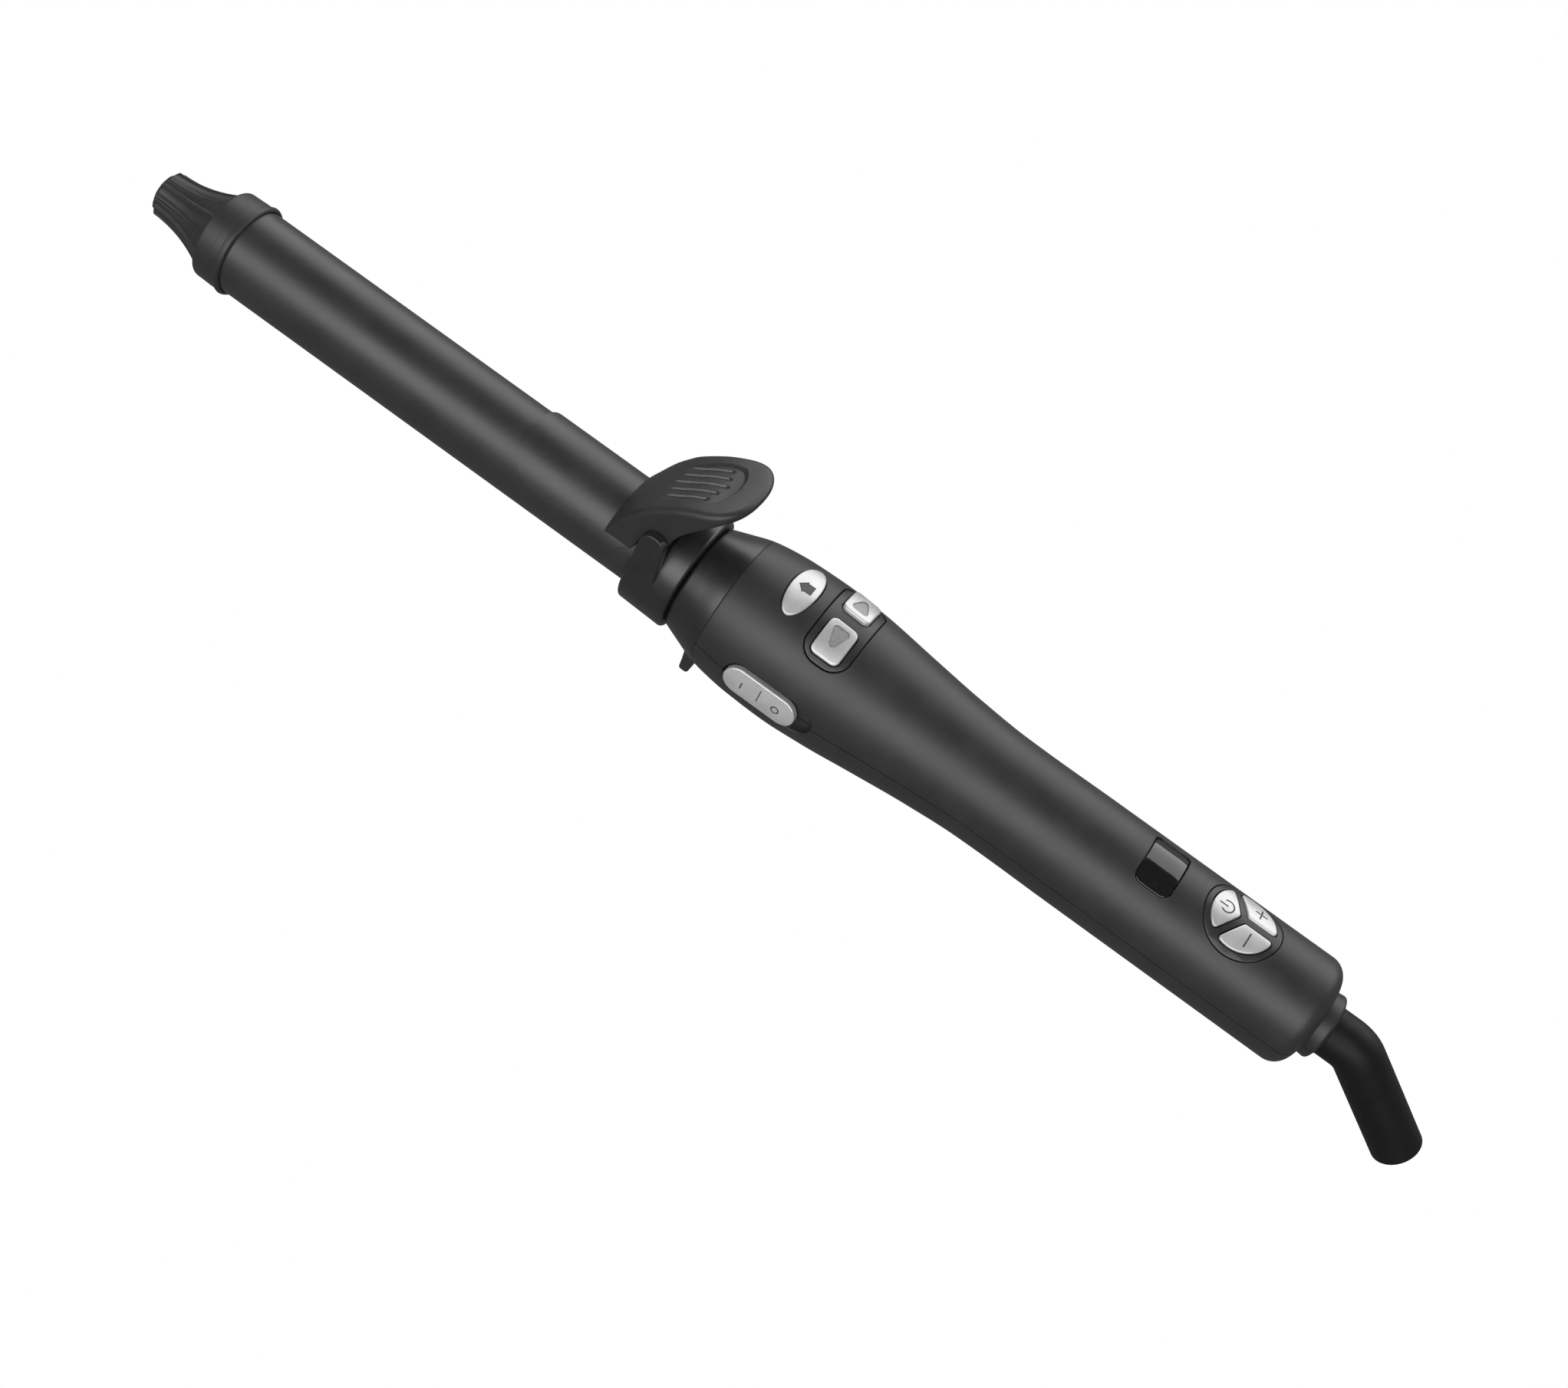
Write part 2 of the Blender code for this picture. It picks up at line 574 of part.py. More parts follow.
def make_thumb_lever():
    """Saddle-shaped lever: a thumb paddle on two cheeks that hang on the hinge pin."""
    slope_drop = LEVER_THICK * 1.25
    eyelet = arc(HINGE_X, HINGE_Z, 3.0, 0, -150, 6)
    cheek_foot = BARREL_RADIUS - 4.3
    web = [(x, BARREL_RADIUS + height) for x, height in LEVER_WEB]
    outline = (lever_outline() + [(LEVER_TIP - 0.3, lever_top(LEVER_TIP) - LEVER_THICK)]
               + web + eyelet + [(PLATE_REAR - 0.4, cheek_foot + 3.6), (PLATE_REAR - 0.4, cheek_foot),
                                 (LEVER_FRONT, cheek_foot)])
    lever = prism("thumb_lever", outline, -LEVER_WIDTH - 0.3, LEVER_WIDTH + 0.3, "XZ")
    boolean(lever, prism("lever_plan", lever_plan(), 0.0, 60.0), "INTERSECT")
    rounding = [(x, BARREL_RADIUS + height) for x, height in LEVER_SHOULDER]
    shoulder = turned("lever_shoulder", [(0.0, 0.0), (0.0, 60.0)] + rounding
                      + [(LEVER_FRONT, 0.0)], 96)
    boolean(lever, shoulder, "INTERSECT")
    for side in (-1, 1):
        low, high = sorted((side * (LEVER_WIDTH - CHEEK_THICK + 0.5), side * (EAR_INNER - 0.35)))
        boss = prism("lever_boss_%d" % side, circle(HINGE_X, HINGE_Z, 2.8), low, high, "XZ")
        boolean(lever, boss, "UNION")
    inner = lever_outline(slope_drop, -27.6, -9.0, 10) + [(-9.0, 0.0), (-27.6, 0.0)]
    hollow = LEVER_WIDTH - CHEEK_THICK
    boolean(lever, prism("lever_hollow", inner, -hollow, hollow, "XZ"))
    boolean(lever, rod("lever_saddle", LEVER_FRONT - 2, -15.0, PLATE_OUTER + GAP, 0.0, 96))
    hole = circle(HINGE_X, HINGE_Z, PIN_RADIUS + GAP, 16)
    boolean(lever, prism("lever_pin_hole", hole, -20.0, 20.0, "XZ"))
    for index, x in enumerate(RIVET_PLACES):
        boolean(lever, post("lever_rivet_hole_%d" % index, x, 0.0, 5.0, BARREL_RADIUS + 4.1, 1.4, 16))
    finish(lever, SOFT_TOUCH, "lever")


def make_clamp_plate():
    """Curved plate that rests on the barrel, with square-cut corners slightly rounded."""
    plate = rod("clamp_plate", PLATE_FRONT, PLATE_REAR, PLATE_OUTER, PLATE_INNER, 96)
    edge_y = PLATE_OUTER * math.sin(math.radians(PLATE_ANGLE))
    edge_z = PLATE_OUTER * math.cos(math.radians(PLATE_ANGLE))
    corner_z = BARREL_RADIUS - 5.1
    side = ([(PLATE_REAR + 1, corner_z), (PLATE_REAR, corner_z), (PLATE_REAR - 5.5, edge_z)]
            + arc(PLATE_FRONT + 3.0, edge_z + 3.0, 3.0, 270, 180, 4)
            + [(PLATE_FRONT, 30.0), (PLATE_REAR + 1, 30.0)])
    keep = prism("plate_side", side, -edge_y - 5, edge_y + 5, "XZ")
    boolean(plate, keep, "INTERSECT")
    for index, x in enumerate(RIVET_PLACES):
        boolean(plate, post("plate_rivet_hole_%d" % index, x, 0.0, 5.0, 20.0, 1.4, 16))
        rivet = post("rivet_%s" % ("front", "rear")[index], x, 0.0, PLATE_INNER + 0.05,
                     BARREL_RADIUS + 3.8, 1.1, 16)
        finish(rivet, STEEL, "lever")
    finish(plate, COATING, "lever")


def make_torsion_spring():
    """Coil around the hinge pin with one leg under the lever and one on the bracket."""
    turns, coil, wire, pitch = 4, 2.15, 0.42, 1.3
    steps = turns * 14
    path = [(HINGE_X - 5.0, turns * pitch / 2 + 0.3, HINGE_Z + coil)]
    for i in range(steps + 1):
        angle = math.radians(90) + 2 * math.pi * turns * i / steps + math.pi * i / steps
        y = turns * pitch * (0.5 - i / steps)
        path.append((HINGE_X + coil * math.cos(angle), y, HINGE_Z + coil * math.sin(angle)))
    path.append((HINGE_X + 2.9, -turns * pitch / 2 - 0.3, HINGE_Z - coil))
    finish(wire_along("torsion_spring", path, wire), STEEL, "lever")


def wire_along(name, path, radius, resolution=1):
    """Round bar along a path, made a mesh with welded caps."""
    curve = bpy.data.curves.new(name, "CURVE")
    curve.dimensions = "3D"
    curve.bevel_depth = unit(radius)
    curve.bevel_resolution = resolution
    curve.use_fill_caps = True
    spline = curve.splines.new("POLY")
    spline.points.add(len(path) - 1)
    for point, place in zip(spline.points, path):
        point.co = (unit(place[0]), unit(place[1]), unit(place[2]), 1.0)
    drawn = bpy.data.objects.new(name + "_curve", curve)
    CUTTERS.objects.link(drawn)
    mesh = bpy.data.meshes.new_from_object(drawn.evaluated_get(bpy.context.evaluated_depsgraph_get()))
    bpy.data.objects.remove(drawn, do_unlink=True)
    shape = bmesh.new()
    shape.from_mesh(mesh)
    bmesh.ops.remove_doubles(shape, verts=shape.verts, dist=0.000001)
    bmesh.ops.recalc_face_normals(shape, faces=shape.faces)
    shape.to_mesh(mesh)
    shape.free()
    mesh.name = name
    return lift(new_object(name, mesh))


# ---- handle -----------------------------------------------------------------------------
def control_outlines(grow):
    """Outlines of the openings in the handle's top, each grown by a clearance."""
    return {
        "home": ellipse(HOME_X, 0.0, HOME_HALF_X + grow, HOME_HALF_Y + grow),
        "pill": rounded_rectangle(ARROW_X, 0.0, PILL_HALF_X + grow, PILL_HALF_Y + grow,
                                  PILL_CORNER + grow),
        "display": rounded_rectangle(DISPLAY_X, 0.0, DISPLAY_HALF_X + grow, DISPLAY_HALF_Y + grow,
                                     DISPLAY_CORNER + grow, 4),
        "dial": circle(DIAL_X, 0.0, DIAL_RADIUS + grow, 40),
    }


def slot_outline(grow=0.0):
    """Outline of the recess that the slider moves in, seen from the side."""
    half_length = SLIDER_HALF + SLIDER_TRAVEL / 2 + SLOT_MARGIN + grow
    middle = SLIDER_X + SLIDER_TRAVEL / 2
    height = SLIDER_HEIGHT + SLOT_MARGIN + grow
    return rounded_rectangle(middle, 0.0, half_length, height, height - 0.05, 6)


def shell_outline():
    """Outline of the hollow handle, from the collar at the tail round to the inside."""
    fillet_x = SHELL_REAR - TAIL_FILLET
    radius = handle_radius(fillet_x)
    ring_edge = 0.8
    outer = [(TAIL_RING_REAR, SLEEVE_RADIUS + 0.35), (TAIL_RING_REAR, TAIL_RING_RADIUS - ring_edge),
             (TAIL_RING_REAR - ring_edge, TAIL_RING_RADIUS), (SHELL_REAR, TAIL_RING_RADIUS)]
    outer += arc(fillet_x, radius - TAIL_FILLET, TAIL_FILLET, 0, 90, 6)
    outer += [(x, handle_radius(x)) for x in (150.0, 112.0) if x < fillet_x]
    outer += [(x, handle_radius(x)) for x in reversed(spaced(SHELL_FRONT, 96.0, 16))]
    inner = [(x, handle_radius(x) - SHELL_WALL) for x in spaced(SHELL_FRONT, 96.0, 8)]
    inner += [(fillet_x, radius - SHELL_WALL), (SHELL_REAR - SHELL_WALL, radius - TAIL_FILLET),
              (SHELL_REAR - SHELL_WALL, SLEEVE_RADIUS + 0.35)]
    return outer + inner


def make_shells():
    """Upper and lower handle shells, split on the level of the axis, with their screw posts."""
    openings = control_outlines(GAP)
    halves = {}
    for name, side in (("handle_shell_upper", 1), ("handle_shell_lower", -1)):
        shell = turned(name, shell_outline())
        for index, (x, y) in enumerate(SCREW_PLACES):
            reach = math.sqrt(handle_radius(x) ** 2 - (abs(y) + POST_RADIUS) ** 2) - 0.5
            low, high = sorted((side * SEAM / 2, side * reach))
            boolean(shell, post("%s_post_%d" % (name, index), x, y, low, high, POST_RADIUS), "UNION")
        other = box(name + "_other_half", (SHELL_FRONT - 5, -30, -30 if side > 0 else -SEAM / 2),
                    (TAIL_RING_REAR + 5, 30, SEAM / 2 if side > 0 else 30))
        boolean(shell, other)
        slot = prism(name + "_slot", slot_outline(), -40.0, -10.0, "XZ")
        floor = skin(name + "_slot_floor", 0.0, 50.0, 3.0, -SLOT_DEPTH)
        boolean(slot, floor, "INTERSECT")
        boolean(shell, slot)
        stem_low, stem_high = SLIDER_X - 3.5, SLIDER_X + SLIDER_TRAVEL + 3.5
        boolean(shell, box(name + "_stem_slot", (stem_low, -25, -1.7), (stem_high, -10, 1.7)))
        halves[name] = shell
    upper = halves["handle_shell_upper"]
    for name, outline in openings.items():
        boolean(upper, prism("opening_" + name, outline, 5.0, 40.0))
    for index, (x, y) in enumerate(SCREW_PLACES):
        top = math.sqrt(handle_radius(x) ** 2 - y ** 2)
        boolean(upper, post("thread_%d" % index, x, y, -5.0, 8.0, SCREW_RADIUS + GAP, 16))
        lower = halves["handle_shell_lower"]
        boolean(lower, post("clear_%d" % index, x, y, -40.0, 5.0, SCREW_RADIUS + GAP, 16))
        boolean(lower, post("sink_%d" % index, x, y, -40.0, -(top - 4.0), SCREW_HEAD + GAP))
        head = -(top - 4.0) - 0.3
        screw = post("shell_screw_%d" % (index + 1), x, y, head - 1.6, head, SCREW_HEAD)
        shank = post("screw_shank_%d" % index, x, y, head - 0.5, 7.5, SCREW_RADIUS, 12)
        boolean(screw, shank, "UNION")
        boolean(screw, box("screw_slot_%d" % index, (x - 1.8, y - 0.35, head - 3.0),
                           (x + 1.8, y + 0.35, head - 1.0)))
        finish(screw, STEEL)
    for shell in halves.values():
        finish(shell, SOFT_TOUCH)


def make_nose():
    """Glossy nose ring, the bearing it holds, and the rest foot plugged into it."""
    stations = spaced(NOSE_FRONT + 0.4, NOSE_REAR, 6)
    neck = HUB_RADIUS + 0.6
    spigot_rear = 4.6
    spigot = handle_radius(SHELL_FRONT) - SHELL_WALL - GAP - 0.1
    outline = [(spigot_rear, BEARING_RADIUS + GAP), (spigot_rear, spigot), (NOSE_REAR, spigot)]
    outline += [(x, handle_radius(x)) for x in reversed(stations)]
    outline += [(NOSE_FRONT, NOSE_RADIUS - 0.5), (NOSE_FRONT, neck), (NOSE_FRONT + 1.6, neck),
                (NOSE_FRONT + 1.6, BEARING_RADIUS + GAP)]
    nose = turned("nose_ring", outline)
    socket = box("foot_socket", (FOOT_X - 1.2, -4.3, -30.0), (FOOT_X + 1.2, 4.3, -12.0))
    boolean(nose, socket)
    finish(nose, GLOSS)
    bearing_front = NOSE_FRONT + 1.6 + GAP
    bearing = rod("front_bearing", bearing_front, bearing_front + 4.0, BEARING_RADIUS,
                  HUB_RADIUS + GAP)
    finish(bearing, BRASS)
    half = FOOT_THICK / 2
    side = [(FOOT_X - half - 0.4, -10.0), (FOOT_X - half, -AXIS_HEIGHT + 0.6),
            (FOOT_X - half + 0.6, -AXIS_HEIGHT), (FOOT_X + half - 0.6, -AXIS_HEIGHT),
            (FOOT_X + half, -AXIS_HEIGHT + 0.6), (FOOT_X + half + 0.6, -10.0)]
    foot = prism("rest_foot", side, -FOOT_HALF_WIDTH, FOOT_HALF_WIDTH, "XZ")
    boolean(foot, skin("foot_seat", NOSE_FRONT, 8.0, GAP))
    tenon_top = -(handle_radius(FOOT_X) - 3.0)
    tenon = box("foot_tenon", (FOOT_X - 0.9, -4.0, -22.0), (FOOT_X + 0.9, 4.0, tenon_top))
    boolean(foot, tenon, "UNION")
    finish(foot, SOFT_TOUCH)


def bezel(name, outline, start, end):
    """Plug that fills an opening of the upper shell, sunk below its surface."""
    made = prism(name, outline, 4.0, 40.0)
    band = skin(name + "_band", start, end, -BEZEL_SUNK, -BEZEL_SUNK - BEZEL_THICK)
    return boolean(made, band, "INTERSECT")


def make_bezels():
    """Pill bezel, dial bezel and display window."""
    plain = control_outlines(0.0)
    pill = bezel("arrow_bezel", plain["pill"], 15.0, 45.0)
    for name, side in (("left", -1), ("right", 1)):
        hole = rounded_rectangle(ARROW_X, side * ARROW_Y, ARROW_HALF_X + GAP, ARROW_HALF_Y + GAP,
                                 ARROW_CORNER + GAP, 4)
        boolean(pill, prism("arrow_hole_" + name, hole, 4.0, 40.0))
    finish(pill, BEZEL_GREY)
    dial = bezel("dial_bezel", plain["dial"], DIAL_X - 15.0, DIAL_X + 13.0)
    for name, direction in SECTORS:
        boolean(dial, prism("dial_hole_" + name, sector(direction, GAP), 4.0, 40.0))
    finish(dial, BEZEL_GREY)
    window = bezel("display_window", plain["display"], DISPLAY_X - 9.0, DISPLAY_X + 9.0)
    finish(window, LENS)


SECTORS = (("power", 180.0), ("plus", 60.0), ("minus", -60.0))


def room_under(x, half_x, reach_y, depth):
    """Highest level for a flange that stays clear of the wall over it, depth below the surface."""
    thinnest = min(handle_radius(x - half_x), handle_radius(x + half_x)) - depth
    return math.sqrt(thinnest ** 2 - reach_y ** 2) - GAP


def flange_levels():
    """Top of the flange of each kind of button."""
    reach = BUTTON_FLANGE
    bezel_depth = BEZEL_SUNK + BEZEL_THICK
    return {
        "home": room_under(HOME_X, HOME_HALF_X + reach, HOME_HALF_Y + reach, SHELL_WALL),
        "arrow": room_under(ARROW_X, ARROW_HALF_X + reach, ARROW_Y + ARROW_HALF_Y + reach,
                            bezel_depth),
        "dial": room_under(DIAL_X, SECTOR_RADIUS + reach, SECTOR_RADIUS + reach, bezel_depth),
    }


LEVELS = flange_levels()


def button(name, outline, flange, flange_top, proud, start, end):
    """Button cap that follows the handle's surface, with a flange that keeps it in."""
    low = flange_top - FLANGE_THICK
    made = prism(name, outline, low, 40.0)
    boolean(made, skin(name + "_face", start, end, proud), "INTERSECT")
    boolean(made, prism(name + "_flange", flange, low, flange_top), "UNION")
    return made


def make_buttons():
    """The six push buttons and the slider."""
    grow = BUTTON_FLANGE
    cap = ellipse(HOME_X, 0.0, HOME_HALF_X, HOME_HALF_Y)
    flange = ellipse(HOME_X, 0.0, HOME_HALF_X + grow, HOME_HALF_Y + grow)
    home = button("home_button", cap, flange, LEVELS["home"], HOME_PROUD, 5.0, 28.0)
    plunger_low = LEVELS["arrow"] - FLANGE_THICK
    boolean(home, post("home_plunger", HOME_X, 0.0, plunger_low, LEVELS["home"] - 0.2, 1.5, 16),
            "UNION")
    finish(home, SILVER, "home")
    for name, side in (("left", -1), ("right", 1)):
        cap = rounded_rectangle(ARROW_X, side * ARROW_Y, ARROW_HALF_X, ARROW_HALF_Y, ARROW_CORNER, 4)
        flange = rounded_rectangle(ARROW_X, side * ARROW_Y, ARROW_HALF_X + grow,
                                   ARROW_HALF_Y + grow, ARROW_CORNER + grow, 4)
        made = button(name + "_button", cap, flange, LEVELS["arrow"], BUTTON_PROUD, 20.0, 42.0)
        finish(made, SILVER, name)
    for name, direction in SECTORS:
        made = button(name + "_button", sector(direction), sector(direction, grow), LEVELS["dial"],
                      SECTOR_PROUD, DIAL_X - 13.0, DIAL_X + 13.0)
        finish(made, SILVER, name)
    slider = prism("on_off_slider",
                   rounded_rectangle(SLIDER_X, 0.0, SLIDER_HALF, SLIDER_HEIGHT,
                                     SLIDER_HEIGHT - 0.05, 6),
                   -SLIDER_FACE, -(BULGE_RADIUS - 1.1), "XZ")
    stem = box("slider_stem", (SLIDER_X - 3.0, -(BULGE_RADIUS - 0.6), -1.3),
               (SLIDER_X + 3.0, -(BULGE_RADIUS - 5.7), 1.3))
    boolean(slider, stem, "UNION")
    finish(slider, SILVER, "slider")


def make_electrics():
    """Motor, boards, switches and leads inside the handle."""
    motor = turned("gear_motor", [
        (MOTOR_REAR, 0.0), (MOTOR_REAR, 2.5), (MOTOR_REAR - 2.0, 2.5), (MOTOR_REAR - 2.0, MOTOR_RADIUS),
        (MOTOR_FRONT + 14.0, MOTOR_RADIUS), (MOTOR_FRONT + 13.0, MOTOR_RADIUS - 0.6),
        (MOTOR_FRONT, MOTOR_RADIUS - 0.6), (MOTOR_FRONT, SHAFT_RADIUS + GAP),
        (MOTOR_FRONT + 8.0 + GAP, SHAFT_RADIUS + GAP), (MOTOR_FRONT + 8.0 + GAP, 0.0)], 32)
    finish(motor, STEEL)
    cradle_front, cradle_rear = MOTOR_REAR - 10.0, MOTOR_REAR - 6.0
    reach = handle_radius(cradle_rear) - SHELL_WALL - 0.5
    cradle = rod("motor_cradle", cradle_front, cradle_rear, reach, MOTOR_RADIUS + GAP, 32)
    boolean(cradle, box("cradle_top", (cradle_front - 1, -30, 0.0), (cradle_rear + 1, 30, 30)))
    finish(cradle, NYLON)
    ring_reach = HUB_RADIUS + GAP + SLIP_RING_THICK
    block = box("brush_block", (-3.6, -4.0, -(BEARING_RADIUS - 0.5)), (3.4, 4.0, -(ring_reach + 0.4)))
    finish(block, NYLON)
    board_top = BOARD_Z + BOARD_THICK
    finish(box("front_board", (9.0, -10.0, BOARD_Z), (40.0, 10.0, board_top)), BOARD_GREEN)
    rear_top = REAR_BOARD_Z + BOARD_THICK
    finish(box("rear_board", (DISPLAY_X - 11.0, -9.0, REAR_BOARD_Z), (DIAL_X + 13.0, 9.0, rear_top)),
           BOARD_GREEN)
    module_top = room_under(DISPLAY_X, DISPLAY_HALF_X, DISPLAY_HALF_Y, BEZEL_SUNK + BEZEL_THICK)
    finish(box("display_module", (DISPLAY_X - 5.9, -7.6, rear_top + GAP),
               (DISPLAY_X + 5.9, 7.6, module_top)), CERAMIC)
    clear = FLANGE_THICK + PRESS_TRAVEL + 0.1
    arrow_top, dial_top = LEVELS["arrow"] - clear, LEVELS["dial"] - clear
    switches = [("home", HOME_X, 0.0, board_top, arrow_top),
                ("left", ARROW_X, -7.0, board_top, arrow_top),
                ("right", ARROW_X, 7.0, board_top, arrow_top)]
    for name, direction in SECTORS:
        x = DIAL_X + 5.4 * math.cos(math.radians(direction))
        y = 5.4 * math.sin(math.radians(direction))
        switches.append((name, x, y, rear_top, dial_top))
    for name, x, y, base, top in switches:
        body_top = base + GAP + 0.45
        switch = box("tact_switch_" + name, (x - 2.2, y - 2.2, base + GAP), (x + 2.2, y + 2.2, body_top))
        boolean(switch, post("tact_plunger_" + name, x, y, body_top - 0.3, top, 1.1, 16), "UNION")
        finish(switch, NYLON)
    slide_low = (SLIDER_X - 7.0, -(BULGE_RADIUS - 6.2), -3.2)
    slide_high = (SLIDER_X + 7.0 + SLIDER_TRAVEL, -(MOTOR_RADIUS + 1.4), 3.2)
    finish(box("slide_switch", slide_low, slide_high), NYLON)
    tail = SHELL_REAR
    beside = POST_RADIUS + 2.2
    run = [(x, beside, -5.0) for x in spaced(MOTOR_REAR + 9.0, tail - 26.0, 4)]
    leads = wire_along("supply_leads", [(MOTOR_REAR + 1.8, 0.0, 0.0), (MOTOR_REAR + 5.0, beside, -2.5)]
                       + run + [(tail - 16.0, 5.5, -4.0), (tail - 7.5, 4.5, -1.0)], 1.4, 2)
    finish(leads, RUBBER)


# ---- bend relief ------------------------------------------------------------------------
def sleeve_path(start, extra=0.0):
    """Points down the middle of the bend relief: straight, one bend, straight."""
    half = SLEEVE_BEND * math.tan(math.radians(SLEEVE_ANGLE / 2))
    path = [(start, 0.0, 0.0), (KNEE_X - half, 0.0, 0.0)]
    for angle in spaced(0.0, SLEEVE_ANGLE, 6)[1:]:
        turn = math.radians(angle)
        path.append((KNEE_X - half + SLEEVE_BEND * math.sin(turn), 0.0,
                     -SLEEVE_BEND * (1 - math.cos(turn))))
    slope = math.radians(SLEEVE_ANGLE)
    reach = SLEEVE_LEG + extra
    path.append((KNEE_X + reach * math.cos(slope), 0.0, -reach * math.sin(slope)))
    return path


def make_bend_relief():
    """Thick rubber bend relief, held in the tail by a flange that can turn."""
    flange_front, flange_rear = SHELL_REAR - 6.4, SHELL_REAR - SHELL_WALL - GAP
    sleeve = wire_along("bend_relief", sleeve_path(flange_rear - 1.0), SLEEVE_RADIUS, 6)
    flange = rod("sleeve_flange", flange_front, flange_rear, SLEEVE_RADIUS + 1.8, 0.0, 32)
    boolean(sleeve, flange, "UNION")
    boolean(sleeve, wire_along("sleeve_bore", sleeve_path(flange_front - 5.0, 5.0), SLEEVE_BORE, 3))
    finish(sleeve, RUBBER, "sleeve")


make_cool_tip()
make_collar()
make_barrel()
make_hub()
make_hinge_bracket()
make_thumb_lever()
make_clamp_plate()
make_torsion_spring()
make_shells()
make_nose()
make_bezels()
make_buttons()
make_electrics()
make_bend_relief()
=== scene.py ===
"""Looks of the rotating curling iron: shells, lever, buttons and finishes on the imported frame.

Pieces are drawn in millimetres around the barrel axis, with x measured from the joint between the
nose ring and the handle shells and +x towards the cord end. place_piece() carries each finished
piece into the frame, in metres. Round a section, the angle phi is 0 at the top, where the buttons
are, and grows towards the slider side (-Y).
"""
import json
import math

import bmesh
import bpy
from mathutils import Matrix, Vector


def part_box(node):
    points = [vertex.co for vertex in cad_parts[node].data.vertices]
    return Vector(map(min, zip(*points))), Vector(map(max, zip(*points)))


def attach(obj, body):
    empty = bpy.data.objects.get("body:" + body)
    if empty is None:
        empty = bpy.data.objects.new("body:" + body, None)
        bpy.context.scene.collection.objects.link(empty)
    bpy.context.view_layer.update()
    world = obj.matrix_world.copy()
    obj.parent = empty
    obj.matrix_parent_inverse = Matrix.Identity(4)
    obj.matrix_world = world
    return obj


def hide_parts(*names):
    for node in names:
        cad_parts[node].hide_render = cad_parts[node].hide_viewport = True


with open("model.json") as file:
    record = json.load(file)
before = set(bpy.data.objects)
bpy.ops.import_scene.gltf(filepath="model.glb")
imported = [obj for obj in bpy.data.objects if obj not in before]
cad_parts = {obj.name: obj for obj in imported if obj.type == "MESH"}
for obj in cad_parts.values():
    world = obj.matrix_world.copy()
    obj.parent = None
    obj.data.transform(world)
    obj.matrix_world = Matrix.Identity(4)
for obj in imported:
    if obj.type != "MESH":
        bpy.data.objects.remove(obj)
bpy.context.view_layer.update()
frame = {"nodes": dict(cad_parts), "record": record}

# ---- the frame's own places --------------------------------------------------------------
JOINTS = {joint["name"]: joint for joint in frame["record"]["behaviour"]["joints"]}
AXIS = Vector(JOINTS["barrel_spin"]["pos_m"])
MM = 0.001
TO_FRAME = Matrix.Translation(AXIS) @ Matrix.Scale(MM, 4)


def drawn_box(node):
    """Lowest and highest corner of a CAD node, in the drawing's millimetres."""
    low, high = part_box(node)
    return [[(corner[k] - AXIS[k]) / MM for k in range(3)] for corner in (low, high)]


TUBE = drawn_box("barrel_tube")
COLLAR = drawn_box("tip_collar")
TIP = drawn_box("cool_tip")
RING = drawn_box("hinge_bracket")
PLATE = drawn_box("clamp_plate")
LEVER = drawn_box("thumb_lever")
NOSE = drawn_box("nose_ring")
SHELL = drawn_box("handle_shell_upper")
FOOT = drawn_box("rest_foot")
HOME = drawn_box("home_button")
PILL = drawn_box("arrow_bezel")
SLIDER = drawn_box("on_off_slider")
WINDOW = drawn_box("display_window")
DIAL = drawn_box("dial_bezel")
HINGE = [(JOINTS["clamp_hinge"]["pos_m"][k] - AXIS[k]) / MM for k in range(3)]


def middle(box, axis=0):
    """Middle of a box along one axis."""
    return (box[0][axis] + box[1][axis]) / 2


# ---- sizes, in millimetres ---------------------------------------------------------------
GAP = 0.3
BARREL_RADIUS = TUBE[1][1]
BARREL_WALL = 1.2
COLLAR_RADIUS = COLLAR[1][1]
RING_RADIUS = 16.45
EAR_OUTER = 16.3
EAR_INNER = 13.9
EAR_TOP = RING[1][2]
PLATE_INNER = BARREL_RADIUS + 0.28
PLATE_OUTER = PLATE[1][2]
BULGE_RADIUS = 21.1
GRIP_RADIUS = 15.95
NOSE_RADIUS = 15.2
SHELL_WALL = 2.2
SHELL_FRONT = 0.45
TAIL_RING_REAR = SHELL[1][0]
SHELL_REAR = TAIL_RING_REAR - 3.6
TAIL_FILLET = 5.2
TAIL_RING_RADIUS = 9.2
SLEEVE_RADIUS = 7.0
SLEEVE_BORE = 3.2
SLEEVE_ANGLE = 39.6
SLEEVE_LEG = 35.4
SLEEVE_BEND = 8.5
KNEE_X = SHELL_REAR + 12.9
TURN_STEPS = 192

HANDLE_LINE = [          # x, radius
    (-11.0, 15.2), (-5.5, 17.21), (0.3, 19.15), (6.0, 20.16), (13.0, 20.81), (24.0, 21.1),
    (36.7, 20.35), (52.7, 18.6), (68.7, 16.95), (84.7, 15.95), (96.0, 15.85), (112.0, 15.95),
    (186.0, 15.95),
]


def smooth_value(stations, x):
    """Value of a smooth curve through (x, value) stations, with no overshoot."""
    if x <= stations[0][0]:
        return stations[0][1]
    if x >= stations[-1][0]:
        return stations[-1][1]
    slopes = [(b[1] - a[1]) / (b[0] - a[0]) for a, b in zip(stations, stations[1:])]
    tangents = [slopes[0]]
    for before, after in zip(slopes, slopes[1:]):
        tangents.append(0.0 if before * after <= 0 else 2 * before * after / (before + after))
    tangents.append(slopes[-1])
    index = max(i for i in range(len(stations) - 1) if stations[i][0] <= x)
    (x0, v0), (x1, v1) = stations[index], stations[index + 1]
    width = x1 - x0
    t = (x - x0) / width
    return ((2 * t ** 3 - 3 * t ** 2 + 1) * v0 + (t ** 3 - 2 * t ** 2 + t) * width * tangents[index]
            + (3 * t ** 2 - 2 * t ** 3) * v1 + (t ** 3 - t ** 2) * width * tangents[index + 1])


def handle_radius(x):
    """Outer radius of the handle at x."""
    return smooth_value(HANDLE_LINE, x)


